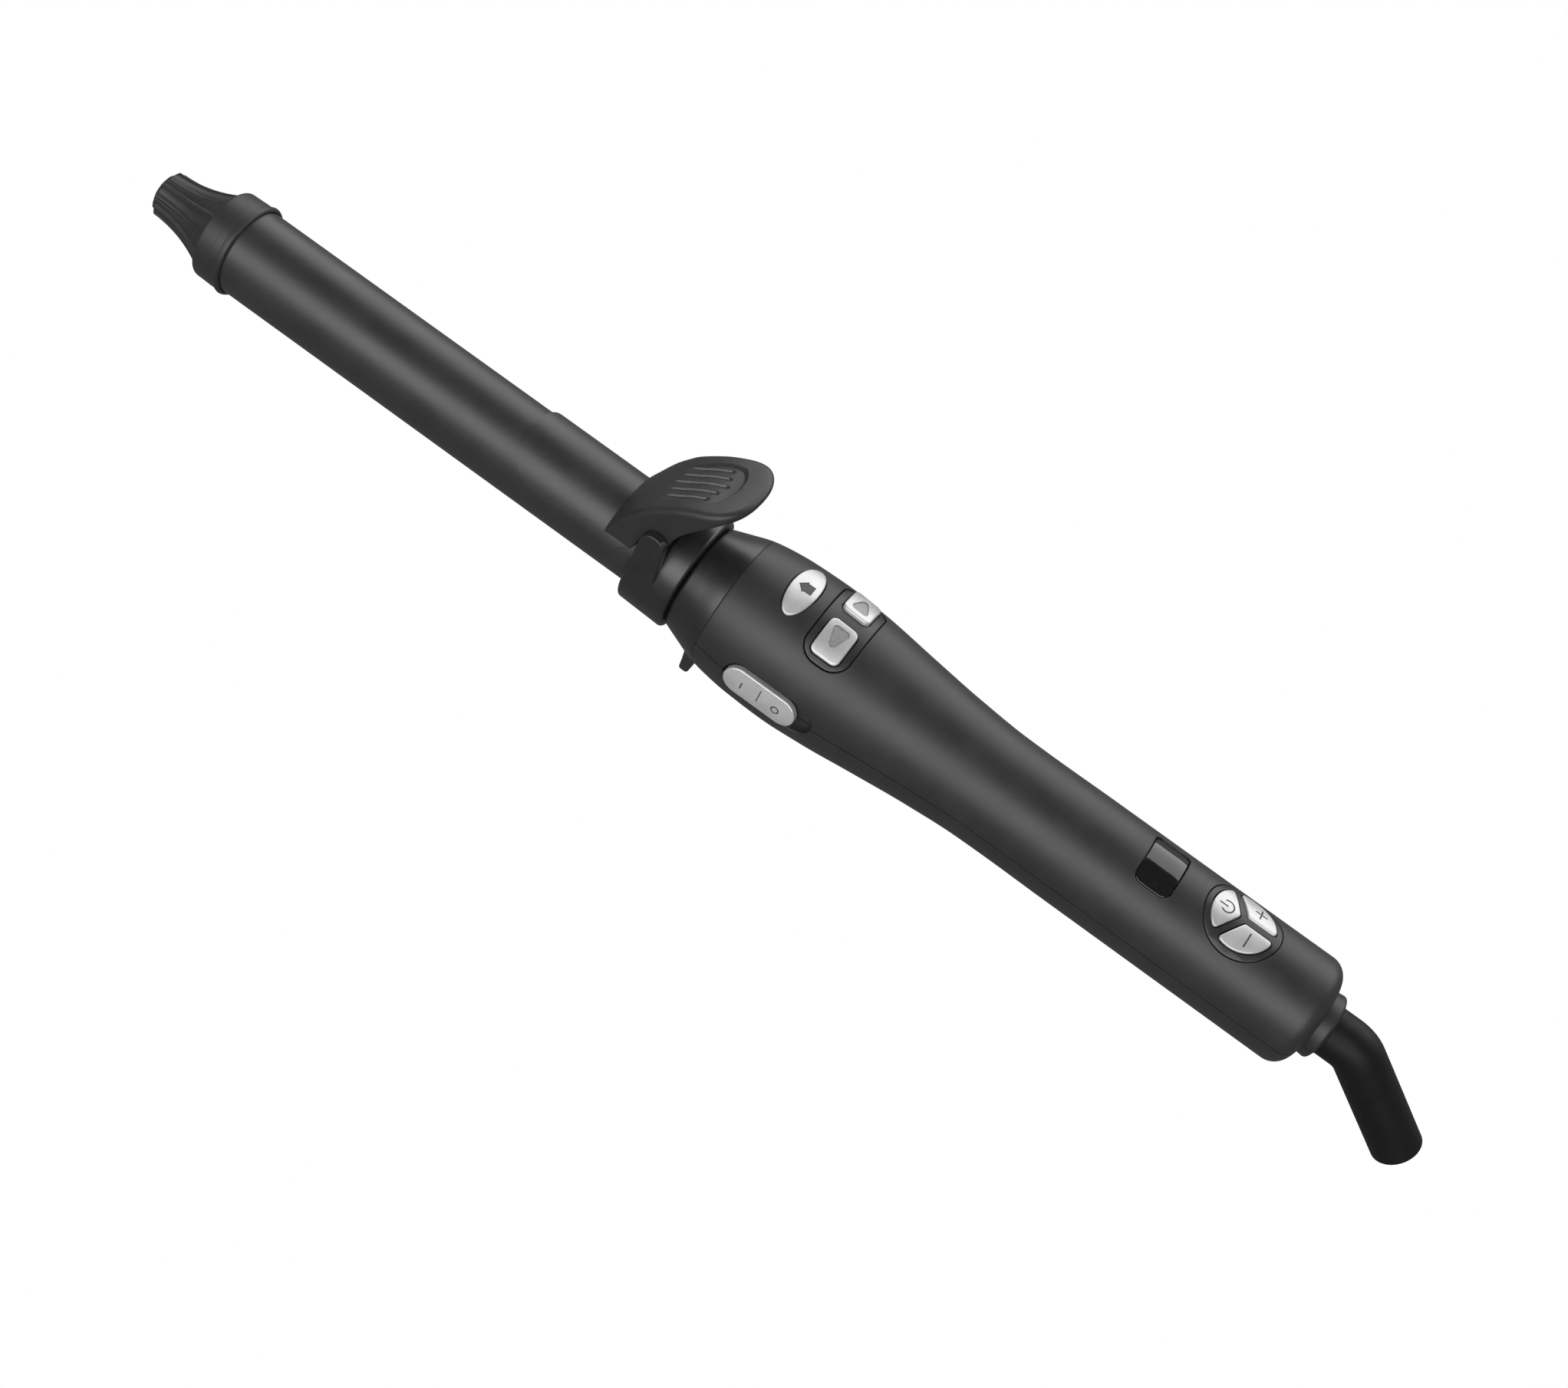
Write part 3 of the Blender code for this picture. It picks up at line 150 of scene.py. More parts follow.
def eased(value):
    """Smooth step from 0 to 1."""
    t = min(max(value, 0.0), 1.0)
    return t * t * (3 - 2 * t)


def spaced(start, end, count):
    """Evenly spaced values from start to end."""
    return [start + (end - start) * i / count for i in range(count + 1)]


# ---- colours and finishes ----------------------------------------------------------------
def srgb(code, alpha=1.0):
    """Linear colour of an sRGB hex code."""
    channels = [int(code[i:i + 2], 16) / 255 for i in (1, 3, 5)]
    linear = [c / 12.92 if c <= 0.04045 else ((c + 0.055) / 1.055) ** 2.4 for c in channels]
    return (*linear, alpha)


def add(tree, kind, inputs=None, **settings):
    """Add one node, with its settings, and its inputs as values or links."""
    made = tree.nodes.new(kind)
    for name, value in settings.items():
        setattr(made, name, value)
    for socket, value in (inputs or {}).items():
        if isinstance(value, bpy.types.NodeSocket):
            tree.links.new(value, made.inputs[socket])
        else:
            made.inputs[socket].default_value = value
    return made


def finish(name, low, high, roughness, grains, stretch=(1.0, 1.0, 1.0), relief_mm=0.0,
           ramp=(0.35, 0.65), pattern="ShaderNodeTexNoise", **values):
    """Material whose colour and roughness follow a pattern, with the values that are fixed.

    grains lists (size in mm, detail) for each pattern: the first drives the colour, which runs
    from low to high over the ramp, and the roughness; the last one drives the relief.
    """
    made = bpy.data.materials.new(name)
    made.use_nodes = True
    tree = made.node_tree
    shader = tree.nodes["Principled BSDF"]
    for socket, value in values.items():
        shader.inputs[socket.replace("_", " ")].default_value = value
    where = add(tree, "ShaderNodeTexCoord")
    fitted = add(tree, "ShaderNodeMapping", {"Vector": where.outputs["Object"], "Scale": stretch})
    fields = []
    for size, detail in grains:
        inputs = {"Vector": fitted.outputs["Vector"], "Scale": 1.0 / (size * MM)}
        if detail is not None:
            inputs["Detail"] = detail
        fields.append(add(tree, pattern, inputs).outputs["Fac"])
    tint = add(tree, "ShaderNodeValToRGB", {"Fac": fields[0]})
    for stop, position, code in zip(tint.color_ramp.elements, ramp, (low, high)):
        stop.position = position
        stop.color = srgb(code)
    tree.links.new(tint.outputs["Color"], shader.inputs["Base Color"])
    sheen = add(tree, "ShaderNodeMapRange", {"Value": fields[0], "From Min": 0.3, "From Max": 0.7,
                                             "To Min": roughness[0], "To Max": roughness[1]})
    tree.links.new(sheen.outputs["Result"], shader.inputs["Roughness"])
    if relief_mm > 0.0:
        bump = add(tree, "ShaderNodeBump", {"Height": fields[-1], "Strength": 1.0,
                                            "Distance": relief_mm * MM})
        tree.links.new(bump.outputs["Normal"], shader.inputs["Normal"])
    return made


# ABS moulding under soft-touch lacquer: even dark grey, silky, with a very fine grain.
SOFT_TOUCH = finish("soft_touch_abs", "#232323", "#272727", (0.44, 0.5), [(9.0, 4.0), (0.35, 2.0)],
                    relief_mm=0.012, IOR=1.5, Specular_IOR_Level=0.5)
# Soft-touch lacquer on the crest of a rib, a little shinier, its paler colour a painted highlight
# along the crest.
RIB_PAINTED_HIGHLIGHT = finish("rib_painted_highlight", "#565656", "#626262", (0.34, 0.42), [(1.5, 3.0)],
                  IOR=1.5, Specular_IOR_Level=0.6)
# Black ABS from a polished mould: soft clear reflections with a faint moulded waviness.
GLOSS = finish("gloss_abs", "#1B1B1B", "#1F1F1F", (0.33, 0.39), [(6.0, 2.0)],
               relief_mm=0.02, IOR=1.5, Specular_IOR_Level=0.6)
# Sprayed ceramic lacquer, baked on aluminium: satin grey with a fine orange-peel skin.
LACQUER = finish("ceramic_lacquer", "#232323", "#272727", (0.4, 0.46), [(14.0, 3.0), (0.8, 3.0)],
                 relief_mm=0.015, IOR=1.55, Specular_IOR_Level=0.5)
# Satin silver plating on moulded ABS: pale neutral metal with a soft, blasted sheen. It is a
# thin bright lacquer coat, so it is only part metallic.
PLATING = finish("satin_plating", "#BDBDBE", "#C8C8C9", (0.34, 0.42), [(5.0, 3.0), (0.25, 2.0)],
                 relief_mm=0.01, Metallic=0.45)
# Grey lacquer wiped into the engraved marks: matt, slightly uneven.
INK = finish("engraved_ink", "#3A3A3B", "#4A4A4B", (0.5, 0.65), [(0.6, 3.0)], IOR=1.5)
# Floor of a deep engraved mark: the same plating, rougher, and painted darker as the shade in the
# recess.
ENGRAVING_PAINTED_SHADE = finish("engraved_plating_painted_shade", "#8E8E8F", "#9A9A9B", (0.45, 0.55), [(0.8, 3.0)],
               Metallic=0.45)
# Plain moulded ABS of the bezels: the handle's grey, a little darker and smoother.
BEZEL = finish("bezel_abs", "#212121", "#262626", (0.38, 0.45), [(4.0, 3.0), (0.3, 2.0)],
               relief_mm=0.01, IOR=1.5, Specular_IOR_Level=0.5)
# Smoked acrylic, polished: nearly black, with sharp reflections and a thin clear top coat.
LENS = finish("smoked_acrylic", "#161616", "#1A1A1A", (0.07, 0.12), [(1.2, 4.0)],
              IOR=1.49, Coat_Weight=0.15, Coat_Roughness=0.04)
# Black thermoplastic rubber from an eroded mould: matt, nearly black, with a fine bloom.
RUBBER = finish("moulded_rubber", "#080808", "#0C0C0C", (0.5, 0.6), [(6.0, 4.0), (0.4, 3.0)],
                relief_mm=0.02, IOR=1.5, Specular_IOR_Level=0.25)
# Black glass-filled nylon: matt, with short pale fibres drawn coarse enough to show.
NYLON = finish("glass_filled_nylon", "#161617", "#26282A", (0.45, 0.6), [(0.7, 3.0)],
               (0.25, 1.0, 1.0), 0.02, (0.4, 0.75), IOR=1.53)
# Turned and zinc-plated steel: bright, with fine lay lines across the axis.
STEEL = finish("turned_steel", "#A9ABAE", "#C3C5C8", (0.22, 0.36), [(0.3, 2.0)],
               (1.0, 0.05, 0.05), 0.006, Metallic=1.0)
# Turned brass, bare: warm yellow metal that has dulled slightly in patches.
BRASS = finish("turned_brass", "#B08D45", "#D4B26A", (0.25, 0.4), [(2.5, 4.0)], Metallic=1.0)
# Extruded aluminium, mill finish: pale metal with die lines along its length.
ALUMINIUM = finish("extruded_aluminium", "#B4B6B8", "#CACCCE", (0.35, 0.5), [(0.5, 2.0)],
                   (0.03, 1.0, 1.0), 0.01, Metallic=1.0)
# Fired alumina ceramic: warm white, matt, with a fine pressed grain.
CERAMIC = finish("fired_alumina", "#E4E1DA", "#F0EEE8", (0.5, 0.65), [(0.5, 3.0)],
                 relief_mm=0.02, IOR=1.76)
# Green solder mask over glass-fibre board: the weave shows as a faint check.
BOARD = finish("solder_mask", "#14532D", "#186236", (0.28, 0.34), [(0.8, None)],
               ramp=(0.0, 1.0), pattern="ShaderNodeTexChecker", IOR=1.52)


# ---- modelling steps ---------------------------------------------------------------------
def start_edit():
    """Edit mode, with all of the active piece selected."""
    bpy.ops.object.mode_set(mode="EDIT")
    bpy.ops.mesh.select_all(action="SELECT")


def close_up():
    """Merge doubles, close the open ends, turn the faces out and leave edit mode."""
    start_edit()
    bpy.ops.mesh.remove_doubles(threshold=0.0005)
    bpy.ops.mesh.select_all(action="SELECT")
    bpy.ops.mesh.fill_holes(sides=0)
    bpy.ops.mesh.select_all(action="SELECT")
    bpy.ops.mesh.normals_make_consistent(inside=False)
    bpy.ops.object.mode_set(mode="OBJECT")


def pick(piece, *others):
    """Select these pieces alone, with the first one active."""
    bpy.ops.object.select_all(action="DESELECT")
    for each in (piece, *others):
        each.select_set(True)
    bpy.context.view_layer.objects.active = piece


def named(name, finish_):
    """Name the active piece and give it its material."""
    piece = bpy.context.object
    piece.name = name
    piece.data.name = name
    piece.data.materials.clear()
    piece.data.materials.append(finish_)
    return piece


def formed(name, finish_, columns, rows, place):
    """Grid bent to shape: place(i, j) gives each crossing; meeting edges are merged and closed."""
    bpy.ops.object.select_all(action="DESELECT")
    bpy.ops.mesh.primitive_grid_add(x_subdivisions=columns - 1, y_subdivisions=rows - 1, size=1)
    piece = named(name, finish_)
    for vertex in piece.data.vertices:
        i = round((vertex.co.x + 0.5) * (columns - 1))
        j = round((vertex.co.y + 0.5) * (rows - 1))
        vertex.co = place(i, j)
    close_up()
    return piece


def spun(name, finish_, outline, steps=TURN_STEPS, start=0.0, angle=360.0):
    """Closed (x, radius) outline spun about the barrel axis, from phi = start."""
    bpy.ops.object.select_all(action="DESELECT")
    x, radius = outline[0]
    bpy.ops.mesh.primitive_plane_add(size=1)
    piece = named(name, finish_)
    start_edit()
    bpy.ops.mesh.merge(type="CENTER")
    bpy.ops.transform.translate(value=(x, 0.0, radius))
    for (x0, r0), (x1, r1) in zip(outline, outline[1:] + outline[:1]):
        move = {"value": (x1 - x0, 0.0, r1 - r0)}
        bpy.ops.mesh.extrude_region_move(TRANSFORM_OT_translate=move)
    bpy.ops.mesh.select_all(action="SELECT")
    bpy.ops.mesh.remove_doubles(threshold=0.0005)
    bpy.ops.mesh.select_all(action="SELECT")
    bpy.ops.mesh.spin(steps=steps, angle=-math.radians(angle), center=(0, 0, 0), axis=(1, 0, 0))
    bpy.ops.object.mode_set(mode="OBJECT")
    piece.data.transform(Matrix.Rotation(math.radians(start), 4, "X"))
    close_up()
    return piece


def stacked(name, finish_, outline, levels):
    """Plug with its outline redrawn, grown or shrunk, at each (grow, height) level."""
    rings = [(outline(grow), height) for grow, height in levels]
    count = len(rings[0][0])

    def place(i, j):
        x, y = rings[j][0][i % count]
        return x, y, rings[j][1]
    return formed(name, finish_, count + 1, len(levels), place)


def sliced(piece, low, high, step):
    """Cut a flat piece into strips across y, so that it can be bent."""
    bpy.context.view_layer.objects.active = piece
    start_edit()
    cuts = max(2, round((high - low) / step))
    for y in spaced(low, high, cuts)[1:-1]:
        bpy.ops.mesh.select_all(action="SELECT")
        bpy.ops.mesh.bisect(plane_co=(0.0, y, 0.0), plane_no=(0.0, 1.0, 0.0))
    for x in spaced(piece_low(piece, 0), piece_high(piece, 0), 4)[1:-1]:
        bpy.ops.mesh.select_all(action="SELECT")
        bpy.ops.mesh.bisect(plane_co=(x, 0.0, 0.0), plane_no=(1.0, 0.0, 0.0))
    bpy.ops.object.mode_set(mode="OBJECT")
    return piece


def piece_low(piece, axis):
    """Lowest coordinate of a piece along one axis."""
    return min(corner[axis] for corner in piece.bound_box)


def piece_high(piece, axis):
    """Highest coordinate of a piece along one axis."""
    return max(corner[axis] for corner in piece.bound_box)


def draped(piece, turn=0.0, reference=None):
    """Bend a flat piece round the handle: x stays, y is the arc length, z the height above it."""
    centre = reference or handle_radius((piece_low(piece, 0) + piece_high(piece, 0)) / 2)
    for vertex in piece.data.vertices:
        x, arc_length, height = vertex.co
        radius = (reference or handle_radius(x)) + height
        phi = math.radians(turn) + arc_length / centre
        vertex.co = (x, -radius * math.sin(phi), radius * math.cos(phi))
    pick(piece)
    start_edit()
    bpy.ops.mesh.normals_make_consistent(inside=False)
    bpy.ops.object.mode_set(mode="OBJECT")
    return piece


def combined(piece, tools, operation="DIFFERENCE"):
    """Apply an exact Boolean with one or more tools, which are used up."""
    tool = tools[0]
    if len(tools) > 1:
        pick(*tools)
        bpy.ops.object.join()
    pick(piece)
    cut = piece.modifiers.new("cut", "BOOLEAN")
    cut.operation = operation
    cut.solver = "EXACT"
    cut.material_mode = "TRANSFER"
    cut.object = tool
    bpy.ops.object.modifier_apply(modifier=cut.name)
    bpy.data.objects.remove(tool, do_unlink=True)
    return piece


def plug(name, finish_, outline, low, high, grow=0.0):
    """Straight plug between two heights."""
    return stacked(name, finish_, outline, [(grow, low), (grow, high)])


def drilled(piece, outlines, low, high, grow=0.0):
    """Cut straight holes with these outline functions between two heights."""
    return combined(piece, [plug("hole", piece.data.materials[0], outline, low, high, grow)
                            for outline in outlines])


def place_piece(piece, body, finish_slot, *nodes, sharp=35.0):
    """Carry a finished piece into the frame, shade it and hang it on its body."""
    piece.data.transform(TO_FRAME)
    piece.data.shade_smooth()
    piece.data.set_sharp_from_angle(angle=math.radians(sharp))
    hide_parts(*nodes)
    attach(piece, body)
    return piece


# ---- outlines ----------------------------------------------------------------------------
def filleted(corners, steps=5):
    """Outline from (a, b, fillet radius) corners."""
    points = []
    for i, (a, b, fillet) in enumerate(corners):
        here = Vector((a, b))
        if fillet <= 0.0:
            points.append((a, b))
            continue
        before = (Vector(corners[i - 1][:2]) - here).normalized()
        after = (Vector(corners[(i + 1) % len(corners)][:2]) - here).normalized()
        half = before.angle(after) / 2
        centre = here + (before + after).normalized() * fillet / math.sin(half)
        first = here + before * fillet / math.tan(half) - centre
        last = here + after * fillet / math.tan(half) - centre
        points += [tuple(centre + first.slerp(last, k / steps)) for k in range(steps + 1)]
    return points


def arc(x, y, radius, start, end, steps):
    """Points along an arc, its angles in degrees."""
    angles = [math.radians(a) for a in spaced(start, end, steps)]
    return [(x + radius * math.cos(a), y + radius * math.sin(a)) for a in angles]


def oval(x, y, half_x, half_y, steps=72):
    """Outline function of an ellipse."""
    turns = [2 * math.pi * i / steps for i in range(steps)]
    return lambda grow: [(x + (half_x + grow) * math.cos(t), y + (half_y + grow) * math.sin(t))
                         for t in turns]


def rounded_box(x, y, half_x, half_y, corner, steps=8):
    """Outline function of a rectangle with round corners."""
    def outline(grow):
        points = []
        radius = max(corner + grow, 0.02)
        for sign_x, sign_y, start in ((1, 1, 0), (-1, 1, 90), (-1, -1, 180), (1, -1, 270)):
            centre_x = x + sign_x * (half_x - corner)
            centre_y = y + sign_y * (half_y - corner)
            points += arc(centre_x, centre_y, radius, start, start + 90, steps)
        return points
    return outline


def sector_of(dial_x, direction, radius=9.1, spoke=1.15, corner=0.9):
    """Outline function of a third of the dial around a direction in degrees."""
    def outline(grow):
        round_ = corner + grow
        inset = spoke + corner
        reach = radius - corner
        swing = math.degrees(math.asin(inset / reach))
        apex = inset / math.sin(math.radians(60))
        low, high = direction - 60, direction + 60

        def polar(distance, angle):
            turn = math.radians(angle)
            return dial_x + distance * math.cos(turn), distance * math.sin(turn)
        points = arc(*polar(apex, direction), round_, direction + 150, direction + 210, 5)
        points += arc(*polar(reach, low + swing), round_, low - 90, low + swing, 6)
        points += arc(dial_x, 0.0, radius + grow, low + swing, high - swing, 24)[1:-1]
        points += arc(*polar(reach, high - swing), round_, high - swing, high + 90, 6)
        return points
    return outline


def rounding(radius, steps, last=90.0):
    """(inset, drop) pairs over a rounded edge, from its straight side up to its top."""
    turns = [math.radians(angle) for angle in spaced(0.0, last, steps)]
    return [(radius * (1 - math.cos(t)), radius * (1 - math.sin(t))) for t in turns]


def crowned(low, top, round_, steps=4):
    """Levels of a plug: straight sides, then a rounded rim up to the top."""
    return [(0.0, low)] + [(-inset, top - drop) for inset, drop in rounding(round_, steps)]


def flared(low, rim, high=1.5, steps=4):
    """Levels of a cutter: straight walls that round outwards to the surface at height 0."""
    return ([(0.0, low)] + [(inset, -drop) for inset, drop in rounding(rim, steps, 80.0)]
            + [(rim + high, high)])


# ---- barrel ------------------------------------------------------------------------------
def tip_radius(x):
    """Radius of the cool tip between its ribs: a trumpet that flares towards the collar."""
    share = (x - TIP[0][0]) / (COLLAR[0][0] - TIP[0][0])
    return 6.3 + 5.3 * share ** 2.2


TIP_RIBS = 12
TIP_RIB_HALF = 0.62      # half width of a rib, with its slopes
TIP_RIB_HEIGHT = 0.58
TIP_CREASE = 0.07        # depth of the fine crease at the foot of a rib
TIP_WALL = 2.8


def cool_tip():
    """Trumpet with thin raised ribs that run from the end to the collar."""
    front = TIP[0][0]
    rear = COLLAR[0][0] - 0.25
    line = [(front, 0.05), (front, 4.6), (front + 0.25, 5.35), (front + 0.7, 5.75)]
    line += [(x, tip_radius(x)) for x in spaced(front + 1.3, rear, 34)]
    plug = BARREL_RADIUS - BARREL_WALL - GAP
    spigot_rear = TIP[1][0]
    floor = COLLAR[0][0] + 2.0
    line += [(rear, plug), (spigot_rear, plug), (spigot_rear, plug - TIP_WALL),
             (floor, plug - TIP_WALL), (floor, 0.05)]
    around = TIP_RIBS * 24

    def place(i, j):
        x, radius = line[j]
        phi = 2 * math.pi * (i % around) / around
        if radius > plug - 3.0 and x > rear + 0.01:
            rib = 0.0
        else:
            pitch = 2 * math.pi / TIP_RIBS
            off_rib = abs((phi / pitch + 0.5) % 1.0 - 0.5) * pitch * radius
            crest = 1 - eased((off_rib - TIP_RIB_HALF * 0.35) / (TIP_RIB_HALF * 0.9))
            crease = TIP_CREASE * (1 - eased(abs(off_rib - TIP_RIB_HALF * 1.45) / 0.25))
            fade = eased(x - front - 0.05) * eased((rear + 0.6 - x) / 0.9)
            rib = (TIP_RIB_HEIGHT * crest - crease) * fade
        return x, -(radius + rib) * math.sin(phi), (radius + rib) * math.cos(phi)
    piece = formed("trumpet_tip", SOFT_TOUCH, around + 1, len(line), place)
    place_piece(piece, "barrel", "soft_touch_plastic", "cool_tip")


def tip_collar():
    """Flared collar over the joint between the tip and the barrel."""
    front, rear = COLLAR[0][0], COLLAR[1][0]
    bore = BARREL_RADIUS + 0.25
    outline = filleted([
        (rear, bore, 0.0), (rear, COLLAR_RADIUS, 0.55), (rear - 1.8, COLLAR_RADIUS, 1.0),
        (front, COLLAR_RADIUS - 0.5, 0.7), (front, BARREL_RADIUS - 1.2, 0.0),
        (rear - 3.9, BARREL_RADIUS - 1.2, 0.0), (rear - 3.9, bore, 0.0)])
    piece = spun("flared_collar", SOFT_TOUCH, outline)
    place_piece(piece, "barrel", "soft_touch_plastic", "tip_collar")


def barrel_tube():
    """Coated tube, with its wall split along its length so that the shading stays even."""
    front, rear = TUBE[0][0], TUBE[1][0]
    inner = BARREL_RADIUS - BARREL_WALL
    outline = filleted([(rear, inner, 0.2), (rear, BARREL_RADIUS, 0.2),
                        (front, BARREL_RADIUS, 0.2), (front, inner, 0.2)], 3)
    split = max(i for i, point in enumerate(outline) if point[0] > middle(TUBE)) + 1
    outline[split:split] = [(x, BARREL_RADIUS) for x in spaced(rear - 2.0, front + 2.0, 60)]
    piece = spun("coated_barrel", LACQUER, outline)
    place_piece(piece, "barrel", "ceramic_coating", "barrel_tube")


PLATE_REACH = 70.0       # phi of the plate's side edges
PLATE_BOW = 11.0         # length over which the plate's front rounds in
PLATE_SQUARE = 2.4       # squareness of the rounded front
PLATE_REAR_HALF = 10.6
PLATE_CHAMFER = 4.5
RIVETS = (-33.2, -30.2)
RIVET_BORE = 1.4
PIN_BORE = 1.3


def rivet_holes():
    """Outline functions of the holes for the two rivets."""
    return [oval(x, 0.0, RIVET_BORE, RIVET_BORE, 24) for x in RIVETS]


def clamp_plate():
    """Thin curved plate on the barrel: a bowed front, and chamfered corners behind."""
    front, rear = PLATE[0][0], PLATE[1][0]
    reach = PLATE_OUTER * math.radians(PLATE_REACH)
    bow_x = front + PLATE_BOW
    side = filleted([(rear, -PLATE_REAR_HALF, 0.8), (rear, PLATE_REAR_HALF, 0.8),
                     (rear - PLATE_CHAMFER, reach, 1.5), (bow_x, reach, 0.0),
                     (bow_x, -reach, 0.0), (rear - PLATE_CHAMFER, -reach, 1.5)], 8)
    nose = []
    for turn in spaced(0.0, 180.0, 48)[1:-1]:
        along, across = math.sin(math.radians(turn)), math.cos(math.radians(turn))
        nose.append((bow_x - PLATE_BOW * along ** (2 / PLATE_SQUARE),
                     math.copysign(reach * abs(across) ** (2 / PLATE_SQUARE), across)))
    corner = side.index((bow_x, reach)) + 1
    base = side[:corner] + nose + side[corner:]
    thick = PLATE_OUTER - PLATE_INNER
    centre = Vector((middle(PLATE), 0.0))

    def outline(grow):
        points = []
        for a, b in base:
            away = Vector((a, b)) - centre
            points.append((a + math.copysign(grow, away.x), b + math.copysign(grow, away.y)))
        return points
    piece = stacked("clamp_spoon", LACQUER, outline, [
        (-0.08, 0.0), (0.0, 0.08), (0.0, thick - 0.2), (-0.06, thick - 0.06), (-0.2, thick)])
    drilled(piece, rivet_holes(), -1.0, 2.0)
    sliced(piece, -reach, reach, 0.45)
    draped(piece, 0.0, PLATE_INNER)
    place_piece(piece, "lever", "ceramic_coating", "clamp_plate")


def hinge_bracket():
    """Glossy ring with two upright ears and an open pocket for the lever."""
    front, rear = RING[0][0], RING[1][0]
    bore = BARREL_RADIUS + GAP
    outline = filleted([(rear, bore, 0.15), (rear, RING_RADIUS, 0.5), (front, RING_RADIUS, 0.9),
                        (front, bore, 0.15)])
    ring = spun("hinge_yoke", GLOSS, outline)
    drilled(ring, [rounded_box(front + 2.75, 0.0, 4.75, EAR_INNER, 0.4, 3)], 9.4, 30.0)
    top_x, top_r = -21.7, 3.6
    top_z = EAR_TOP - top_r
    profile = ([(front + 0.5, 2.0), (-17.3, 2.0), (-17.5, 8.0), (-17.9, 14.0),
                (top_x + top_r, top_z)]
               + arc(top_x, top_z, top_r, 14, 166, 14)[1:]
               + [(front + 0.3, 15.5), (front + 0.3, 8.0)])
    for side in (-1, 1):
        ear = upright("ear", GLOSS, profile, side * EAR_INNER, side * EAR_OUTER, 0.45)
        combined(ring, [ear], "UNION")
    hole = arc(HINGE[0], HINGE[2], PIN_BORE, 0, 337.5, 15)
    combined(ring, [upright("ear_hole", GLOSS, hole, side * (EAR_INNER - 1),
                            side * (EAR_OUTER - 0.7)) for side in (-1, 1)])
    place_piece(ring, "barrel", "gloss_plastic", "hinge_bracket")


def upright(name, finish_, profile, y_inner, y_outer, round_=0.0):
    """Profile in (x, z) as a slab between two y values, its outer face rounded at the rim."""
    centre = sum((Vector(p) for p in profile), Vector((0.0, 0.0))) / len(profile)
    side = 1.0 if y_outer > y_inner else -1.0
    edge = rounding(round_, 4) if round_ > 0.0 else [(0.0, 0.0)]
    layers = [(0.0, y_inner)] + [(inset, y_outer - side * drop) for inset, drop in edge]
    count = len(profile)

    def place(i, j):
        shrink, y = layers[j]
        point = Vector(profile[i % count])
        away = point - centre
        point -= away.normalized() * shrink
        return point.x, y, point.y
    return formed(name, finish_, count + 1, len(layers), place)


# ---- thumb lever -------------------------------------------------------------------------
LEVER_TOP = [            # x, height of the lever's top along its middle
    (-36.0, 14.9), (-34.0, 17.7), (-32.0, 20.1), (-30.0, 22.3), (-28.0, 24.7), (-26.0, 26.6),
    (-24.0, 28.4), (-20.0, 31.8), (-16.0, 34.5), (-12.0, 36.7), (-8.0, 38.7), (-4.2, 40.1),
]
LEVER_DROP = [           # x, how far the top falls away towards its sides
    (-36.0, 6.0), (-34.0, 3.6), (-32.0, 1.8), (-30.0, 0.8), (-28.0, 0.35), (-26.0, 0.1),
    (-24.0, 0.0),
]
LEVER_FOOT = [           # x, height of the underside: cheeks, hinge eye, then the web's rear edge
    (-36.0, 8.2), (-27.4, 8.2), (-26.6, 11.8), (-24.9, 15.4), (-23.6, 15.2), (-21.8, 14.6),
    (-20.0, 15.2), (-19.0, 16.6), (-17.8, 21.2), (-16.2, 24.6), (-14.4, 27.5), (-12.5, 30.0),
    (-10.2, 32.6), (-8.6, 34.3), (-4.2, 37.0),
]
PAD_EDGE = [             # x, half width of the shallow recess for the thumb
    (-29.0, 7.4), (-24.7, 8.1), (-18.5, 9.0), (-14.0, 8.3), (-12.4, 6.4), (-11.4, 3.8),
    (-11.0, 0.0),
]
GRIP_RIBS = [            # y, first x, last x
    (6.35, -26.1, -16.2), (3.2, -26.8, -15.3), (0.0, -27.6, -14.3), (-3.2, -26.8, -15.3),
    (-6.35, -26.1, -16.2),
]
LEVER_HALF = LEVER[1][1]
LEVER_TIP = LEVER[1][0]
PAD_DEPTH = 0.6
PAD_STEEPER = 0.35       # extra depth at the pad's rear edge
RIB_SIZE = 0.33          # half width of a grip rib
DOT_RADIUS = 0.7         # dimple at the rear end of each rib
DOT_DEPTH = 0.4
LEVER_RIM = 2.1          # rounding of the paddle's upper edge
LEVER_SKIN = 0.3         # grain of the mesh over the whole lever
PADDLE_BEND = -14.5      # where the sides of the paddle start to round in towards its end
PADDLE_SQUARE = 2.35     # squareness of the rounded end


def lever_half_width(x):
    """Half width of the lever from above: straight sides and a rounded thumb end."""
    if x <= PADDLE_BEND:
        return LEVER_HALF
    share = min((x - PADDLE_BEND) / (LEVER_TIP - PADDLE_BEND), 0.9995)
    return LEVER_HALF * (1 - share ** PADDLE_SQUARE) ** (1 / PADDLE_SQUARE)


def lever_height(x, y):
    """Height of the lever's top face."""
    share = abs(y) / LEVER_HALF
    return smooth_value(LEVER_TOP, x) - smooth_value(LEVER_DROP, x) * share ** 2


def inside_edge(x, y):
    """Distance from a point of the paddle to the nearest edge of its plan, about."""
    if x <= PADDLE_BEND:
        return LEVER_HALF - abs(y)
    length = LEVER_TIP - PADDLE_BEND
    share = (((x - PADDLE_BEND) / length) ** PADDLE_SQUARE
             + (abs(y) / LEVER_HALF) ** PADDLE_SQUARE) ** (1 / PADDLE_SQUARE)
    return (1 - share) * math.hypot(x - PADDLE_BEND, y) / max(share, 0.001)


def rolled(x, y, radius):
    """How far a rounded rim of that radius lies below a flat face."""
    out = min(max(radius - inside_edge(x, y), 0.0), radius)
    return radius - math.sqrt(radius ** 2 - out ** 2)


